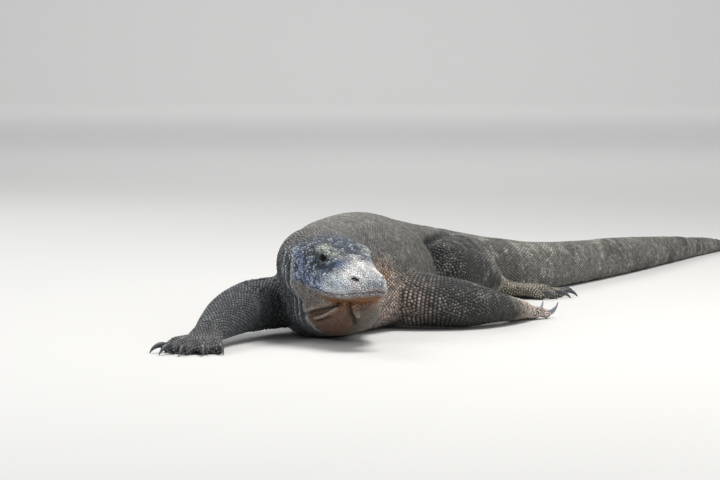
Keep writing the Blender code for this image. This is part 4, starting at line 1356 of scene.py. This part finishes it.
def fill_between(hide, rows):
    """The rows thinned out where they crowd, with random scales in the gaps and on the head.
    Last, which scales are the random ones."""
    names, places, ahead, pitch, ratio, share = rows
    extra = hide.spread(SPREAD)
    snout = on_head(extra)
    spacing = np.where(snout, head_pitch(extra), BODY_PITCH)
    tree = kd_of(places)
    far = np.array([tree.find(p)[2] for p in extra.tolist()])
    good = snout | (far > 0.75 * spacing)
    extra, spacing, snout = extra[good], spacing[good], snout[good]
    limits = np.concatenate([pitch * 0.70, spacing * np.where(snout, 0.80, 0.75)])
    kept = thinned(np.vstack([places, extra]), limits)
    old, new = kept[kept < len(places)], kept[kept >= len(places)] - len(places)
    extra, spacing, snout = extra[new], spacing[new], snout[new]
    # each random scale takes after the nearest one of the rows, or lies along the head
    joined = [tree.find(p)[1] for p in extra.tolist()]
    offset = extra - places[joined]
    along = unit(ahead[joined])
    step = (offset * along).sum(axis=1)
    sideways = np.linalg.norm(offset - step[:, None] * along, axis=1)
    chart = share[joined] + np.column_stack([0.5 * step, 2.0 * sideways])
    a, b, c = to_head(extra).T
    turn = np.arctan2(c + 0.012, b) / (2 * math.pi) + 0.5
    chart = np.where(snout[:, None], np.column_stack([a / HEAD_BACK, turn]), chart)
    heading = np.where(snout[:, None], HEAD_AXES[:3, 0], ahead[joined])
    return (
        np.concatenate([names[old], np.where(snout, "head", names[joined])]),
        np.vstack([places[old], extra]),
        np.vstack([ahead[old], heading]),
        np.concatenate([pitch[old], spacing]),
        np.concatenate([ratio[old], np.full(len(new), 0.95)]),
        np.clip(np.vstack([share[old], chart]), 0, 1),
        np.arange(len(old) + len(new)) >= len(old),
    )


def lay_coat(hide):
    """Sets out all the scales and makes a mesh of each region."""
    names, places, ahead, pitch, ratio, share, free = fill_between(hide, coat_rows(hide))
    places = relax_places(places, pitch, free, hide, 5)
    places = relax_places(places, pitch * 0.97, np.ones(len(places), bool), hide, 2)
    places, out, _far = hide.snap(places)
    tree = kd_of(places)
    around = [np.mean([n[2] for n in tree.find_n(p, 5)[1:]]) for p in places.tolist()]
    across = np.clip(np.array(around), 0.72 * pitch, 1.10 * pitch)
    run, _left = along_body(places)
    head = on_head(places)
    chance = rng.random(len(places))
    tone = np.exp((0.28 - 0.14 * head) * rng.standard_normal(len(places)).clip(-2, 2))
    # none over the openings of the eyes and nostrils
    local = to_head(places)
    behind, above, reach = around_eye(mirrored(local), 1)
    blocked = (lid_ring(behind, above) < 1.20) & (reach < 0.014) & (np.abs(behind) < 90)
    blocked |= nostril_oval(mirrored(local)) < 1.05
    flat = 1 - 0.45 * ramp(local[:, 2], -0.03, -0.05) * head
    body = names == "body"
    fill = np.where(names == "head", HEAD_FILL, np.where(body, BODY_FILL, LIMB_FILL))
    fill = fill - NECK_LESS * bell(gap_to(places, *FAR_NECK), 0.050) * body
    long = SCALE_LONG * fill * across * np.minimum(ratio, 1.3)
    size = np.column_stack([long, SCALE_WIDE * fill * across, SCALE_HIGH * across * flat])
    part = np.array(list(BODY_PARTS))[np.searchsorted(list(BODY_PARTS.values()), run, side="right")]
    names = np.where(body, part, names)
    made = []
    for name in (*BODY_PARTS, "head", *FEET):
        chosen = (names == name) & ~blocked
        parts = (v[chosen] for v in (places, ahead, out, size, tone, chance, share))
        made.append(scale_mesh(f"scales_{name}", *parts))
    return made


# ---- materials
def fill_inputs(node, values):
    """Sets inputs of a node, named in a table of values."""
    for name, value in values.items():
        node.inputs[name].default_value = value


def new_material(name, roughness, specular):
    """A new material, its node tree and its shader."""
    made = bpy.data.materials.new(name)
    made.use_nodes = True
    shader = made.node_tree.nodes["Principled BSDF"]
    fill_inputs(shader, {"Roughness": roughness, "Specular IOR Level": specular})
    return made, made.node_tree, shader


def add_node(tree, kind, **settings):
    node = tree.nodes.new(kind)
    for key, value in settings.items():
        setattr(node, key, value)
    return node


def noise_node(tree, scale, detail=3.0):
    """A node of noise over the object's own places."""
    where = add_node(tree, "ShaderNodeTexCoord")
    node = add_node(tree, "ShaderNodeTexNoise")
    fill_inputs(node, {"Scale": scale, "Detail": detail})
    tree.links.new(where.outputs["Object"], node.inputs["Vector"])
    return node


def ranged(tree, source, low, high):
    """A value from low to high, from a source of 0 to 1."""
    node = add_node(tree, "ShaderNodeMapRange")
    fill_inputs(node, {"To Min": low, "To Max": high})
    tree.links.new(source, node.inputs["Value"])
    return node.outputs["Result"]


def hide_material(name, rough, grain, depth):
    """Dry hide whose colour is the markings of the mesh, broken up by a fine grain."""
    made, tree, shader = new_material(name, 0.6, 0.45)
    colour = add_node(tree, "ShaderNodeAttribute", attribute_name="markings")
    fine = noise_node(tree, grain)
    mix = add_node(tree, "ShaderNodeMix", data_type="RGBA", blend_type="MULTIPLY")
    fill_inputs(mix, {"Factor": 1.0})
    tone = ranged(tree, fine.outputs["Fac"], 0.72, 1.28)
    tree.links.new(colour.outputs["Color"], mix.inputs[6])
    tree.links.new(tone, mix.inputs[7])
    tree.links.new(mix.outputs[2], shader.inputs["Base Color"])
    tree.links.new(ranged(tree, fine.outputs["Fac"], *rough), shader.inputs["Roughness"])
    bump = add_node(tree, "ShaderNodeBump")
    fill_inputs(bump, {"Strength": depth, "Distance": 0.0004})
    tree.links.new(noise_node(tree, grain * 1.7, 4.0).outputs["Fac"], bump.inputs["Height"])
    tree.links.new(bump.outputs["Normal"], shader.inputs["Normal"])
    return made


def eye_piece(side, word):
    """Eyeball with a clear bulge over a dark brown iris and a round pupil."""
    bm = bmesh.new()
    bmesh.ops.create_uvsphere(bm, u_segments=56, v_segments=40, radius=1)
    ball = np.array([v.co for v in bm.verts])[:, [2, 0, 1]]
    apart = np.degrees(np.arccos(np.clip(ball[:, 0], -1, 1)))
    reach = EYE_RADIUS + 0.0007 * ramp(apart, 40, 12)
    world = from_head(eye_centre(side) + (ball * reach[:, None]) @ eye_axes(side).T)
    for vert, place in zip(bm.verts, world):
        vert.co = place
    bmesh.ops.recalc_face_normals(bm, faces=bm.faces)
    obj = linked_mesh(f"eye_{word}_ball", bm)
    iris, rim, dark = tints((3.5, 2.2, 1.6), (7, 4.5, 3), (2, 1.5, 1.5))
    turn = np.degrees(np.arctan2(ball[:, 1], ball[:, 2]))
    ray = 0.6 + 0.8 * noise(np.column_stack([turn, apart * 0.2, apart * 0]), 6.0, 5)
    # the pupil within 17 degrees, then the iris, its rim at 20, and the dark rest of the ball
    colours = layered(
        dark,
        (iris * ray[:, None], ramp(apart, 17, 19)),
        (rim, bell(apart - 20.0, 1.4) * 0.8),
        (dark * 2, ramp(apart, 34, 38)),
    )
    add_colours(obj, colours)
    return obj


def claw_piece(foot, tone):
    """The five claws of a foot: hooked cones, streaked lengthways."""
    rings, faces, start = [], [], 0
    for _toe, stations in toes_of(foot):
        tube = np.array(limb_rings(stations, 16))[:, ::4]
        points, quads, ends = loft(tube)
        points = np.vstack([points, tube[-1].mean(axis=0), tube[0].mean(axis=0)])
        count = tube.shape[1]
        caps = []
        for end, middle in ((ends[1], len(points) - 2), (ends[0], len(points) - 1)):
            caps += [(end[k], end[(k + 1) % count], middle) for k in range(count)]
        rings.append(points)
        faces.append(np.vstack([quads[:, [0, 1, 2]], quads[:, [0, 2, 3]], caps]) + start)
        start += len(points)
    obj = new_object(f"claws_{foot}", np.vstack(rings), np.vstack(faces))
    streak = noise(points_of(obj.data) * (1, 1, 3), 0.004, 8)
    add_colours(obj, tints((50, 54, 62)) * (tone * (0.6 + 0.9 * streak))[:, None])
    return obj


# ---- the scene
def add_floor():
    """A floor that bends up into a wall far behind the animal."""
    side, back, bend, top = 30.0, 14.0, 6.0, 30.0
    profile = [(y, 0.0) for y in (-12.0, 4.0, 9.0, 12.0, 13.4)]
    for turn in np.linspace(0, 1.57, 26):
        profile.append((back + bend * math.sin(turn), bend * (1 - math.cos(turn))))
    profile.append((back + bend, top))
    bm = bmesh.new()
    rows = [[bm.verts.new((x, y, z)) for x in (-side, side)] for y, z in profile]
    for low, high in zip(rows, rows[1:]):
        bm.faces.new((low[0], low[1], high[1], high[0]))
    obj = linked_mesh("floor", bm)
    made, _tree, shader = new_material("floor", 0.9, 0.2)
    fill_inputs(shader, {"Base Color": (0.66, 0.657, 0.645, 1)})
    obj.data.materials.append(made)


def add_area(name, place, target, size, power, colour=(1, 1, 1)):
    """A round lamp of the size in metres and power in watts, aimed at the target."""
    lamp = bpy.data.lights.new(name, "AREA")
    lamp.shape, lamp.size, lamp.energy, lamp.color = "DISK", size, power, colour
    obj = linked(name, lamp)
    obj.location = place
    obj.rotation_euler = (Vector(target) - Vector(place)).to_track_quat("-Z", "Y").to_euler()


def add_light_and_camera():
    add_area("key", (0.9, -0.5, 3.2), (0, 0, 0), 1.8, 105, (1.0, 0.98, 0.95))
    add_area("fill", (2.2, -3.6, 1.8), (0, -0.3, 0), 1.6, 28, (1.0, 0.99, 0.97))
    add_area("side", (-2.6, -2.6, 1.3), (0, -0.3, 0), 0.8, 30, (0.97, 0.99, 1.0))
    add_area("rim", (-1.6, 2.6, 2.6), (0, 0, 0), 1.8, 50)
    # two that face the wall, to light it evenly
    add_area("back_near", (0, 5.0, 4.5), (0, 8.9, 2.0), 3.0, 150)
    add_area("back_far", (0, 11.5, 6.5), (0, 17.1, 2.9), 4.0, 300)
    world = bpy.data.worlds.new("studio")
    world.use_nodes = True
    fill_inputs(world.node_tree.nodes["Background"], {"Color": (0.95, 0.97, 1.0, 1), "Strength": 0.42})
    bpy.context.scene.world = world
    camera = linked("camera", bpy.data.cameras.new("camera"))
    camera.data.lens, camera.data.sensor_width = 175, 36
    camera.data.clip_end = 100
    camera.location = (-0.012, -5.52, 0.464)
    camera.rotation_euler = (math.radians(90 - 3.6), 0, 0)
    bpy.context.scene.camera = camera
    bpy.context.scene.view_settings.view_transform = "Standard"


def colour_skin(skin):
    """The markings of the scales, darker, since the skin shows only between them: partly the skin's
    own darker colour and partly painted shade. Near black in the nostrils, as painted shade.
    """
    points = points_of(skin.data)
    # painted shade that makes the nostrils near black
    nostril_shade = ramp(nostril_oval(mirrored(to_head(points))), 0.7, 1.2)
    painted_shading = (0.16 + 0.26 * on_head(points)) * nostril_shade + 0.01
    add_colours(skin, markings(points, noise(points, 0.004, 41)) * painted_shading[:, None])


def main():
    for old in list(bpy.context.scene.objects):
        if old.type in ("LIGHT", "CAMERA"):
            bpy.data.objects.remove(old)
    skin = shaped_skin()
    colour_skin(skin)
    scales = lay_coat(Hide(skin))
    skin.data.materials.append(hide_material("hide", (0.55, 0.80), 900.0, 0.5))
    coat = hide_material("coat", (0.45, 0.72), 700.0, 0.35)
    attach(skin, "root")
    flesh = [n for n in frame["nodes"] if not n.startswith(("claw_", "eye_"))]
    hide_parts(*flesh)
    for piece in scales:
        piece.data.materials.append(coat)
        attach(piece, "root")
    ball, tree, shader = new_material("eyeball", 0.06, 0.10)
    fill_inputs(shader, {"Coat Weight": 0.06, "Coat Roughness": 0.03})
    attribute = add_node(tree, "ShaderNodeAttribute", attribute_name="markings")
    tree.links.new(attribute.outputs["Color"], shader.inputs["Base Color"])
    for side, word in ((-1, "left"), (1, "right")):
        eye = eye_piece(side, word)
        eye.data.materials.append(ball)
        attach(eye, "root")
        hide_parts(f"eye_{word}")
    horn = hide_material("horn", (0.28, 0.45), 1500.0, 0.2)
    for foot in FEET:
        claws = claw_piece(foot, 3.5 if foot == "hand_left" else 1.0)
        claws.data.materials.append(horn)
        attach(claws, "root")
        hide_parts(*[f"claw_{foot}_{k}" for k in range(1, 6)])
    add_floor()
    add_light_and_camera()


main()
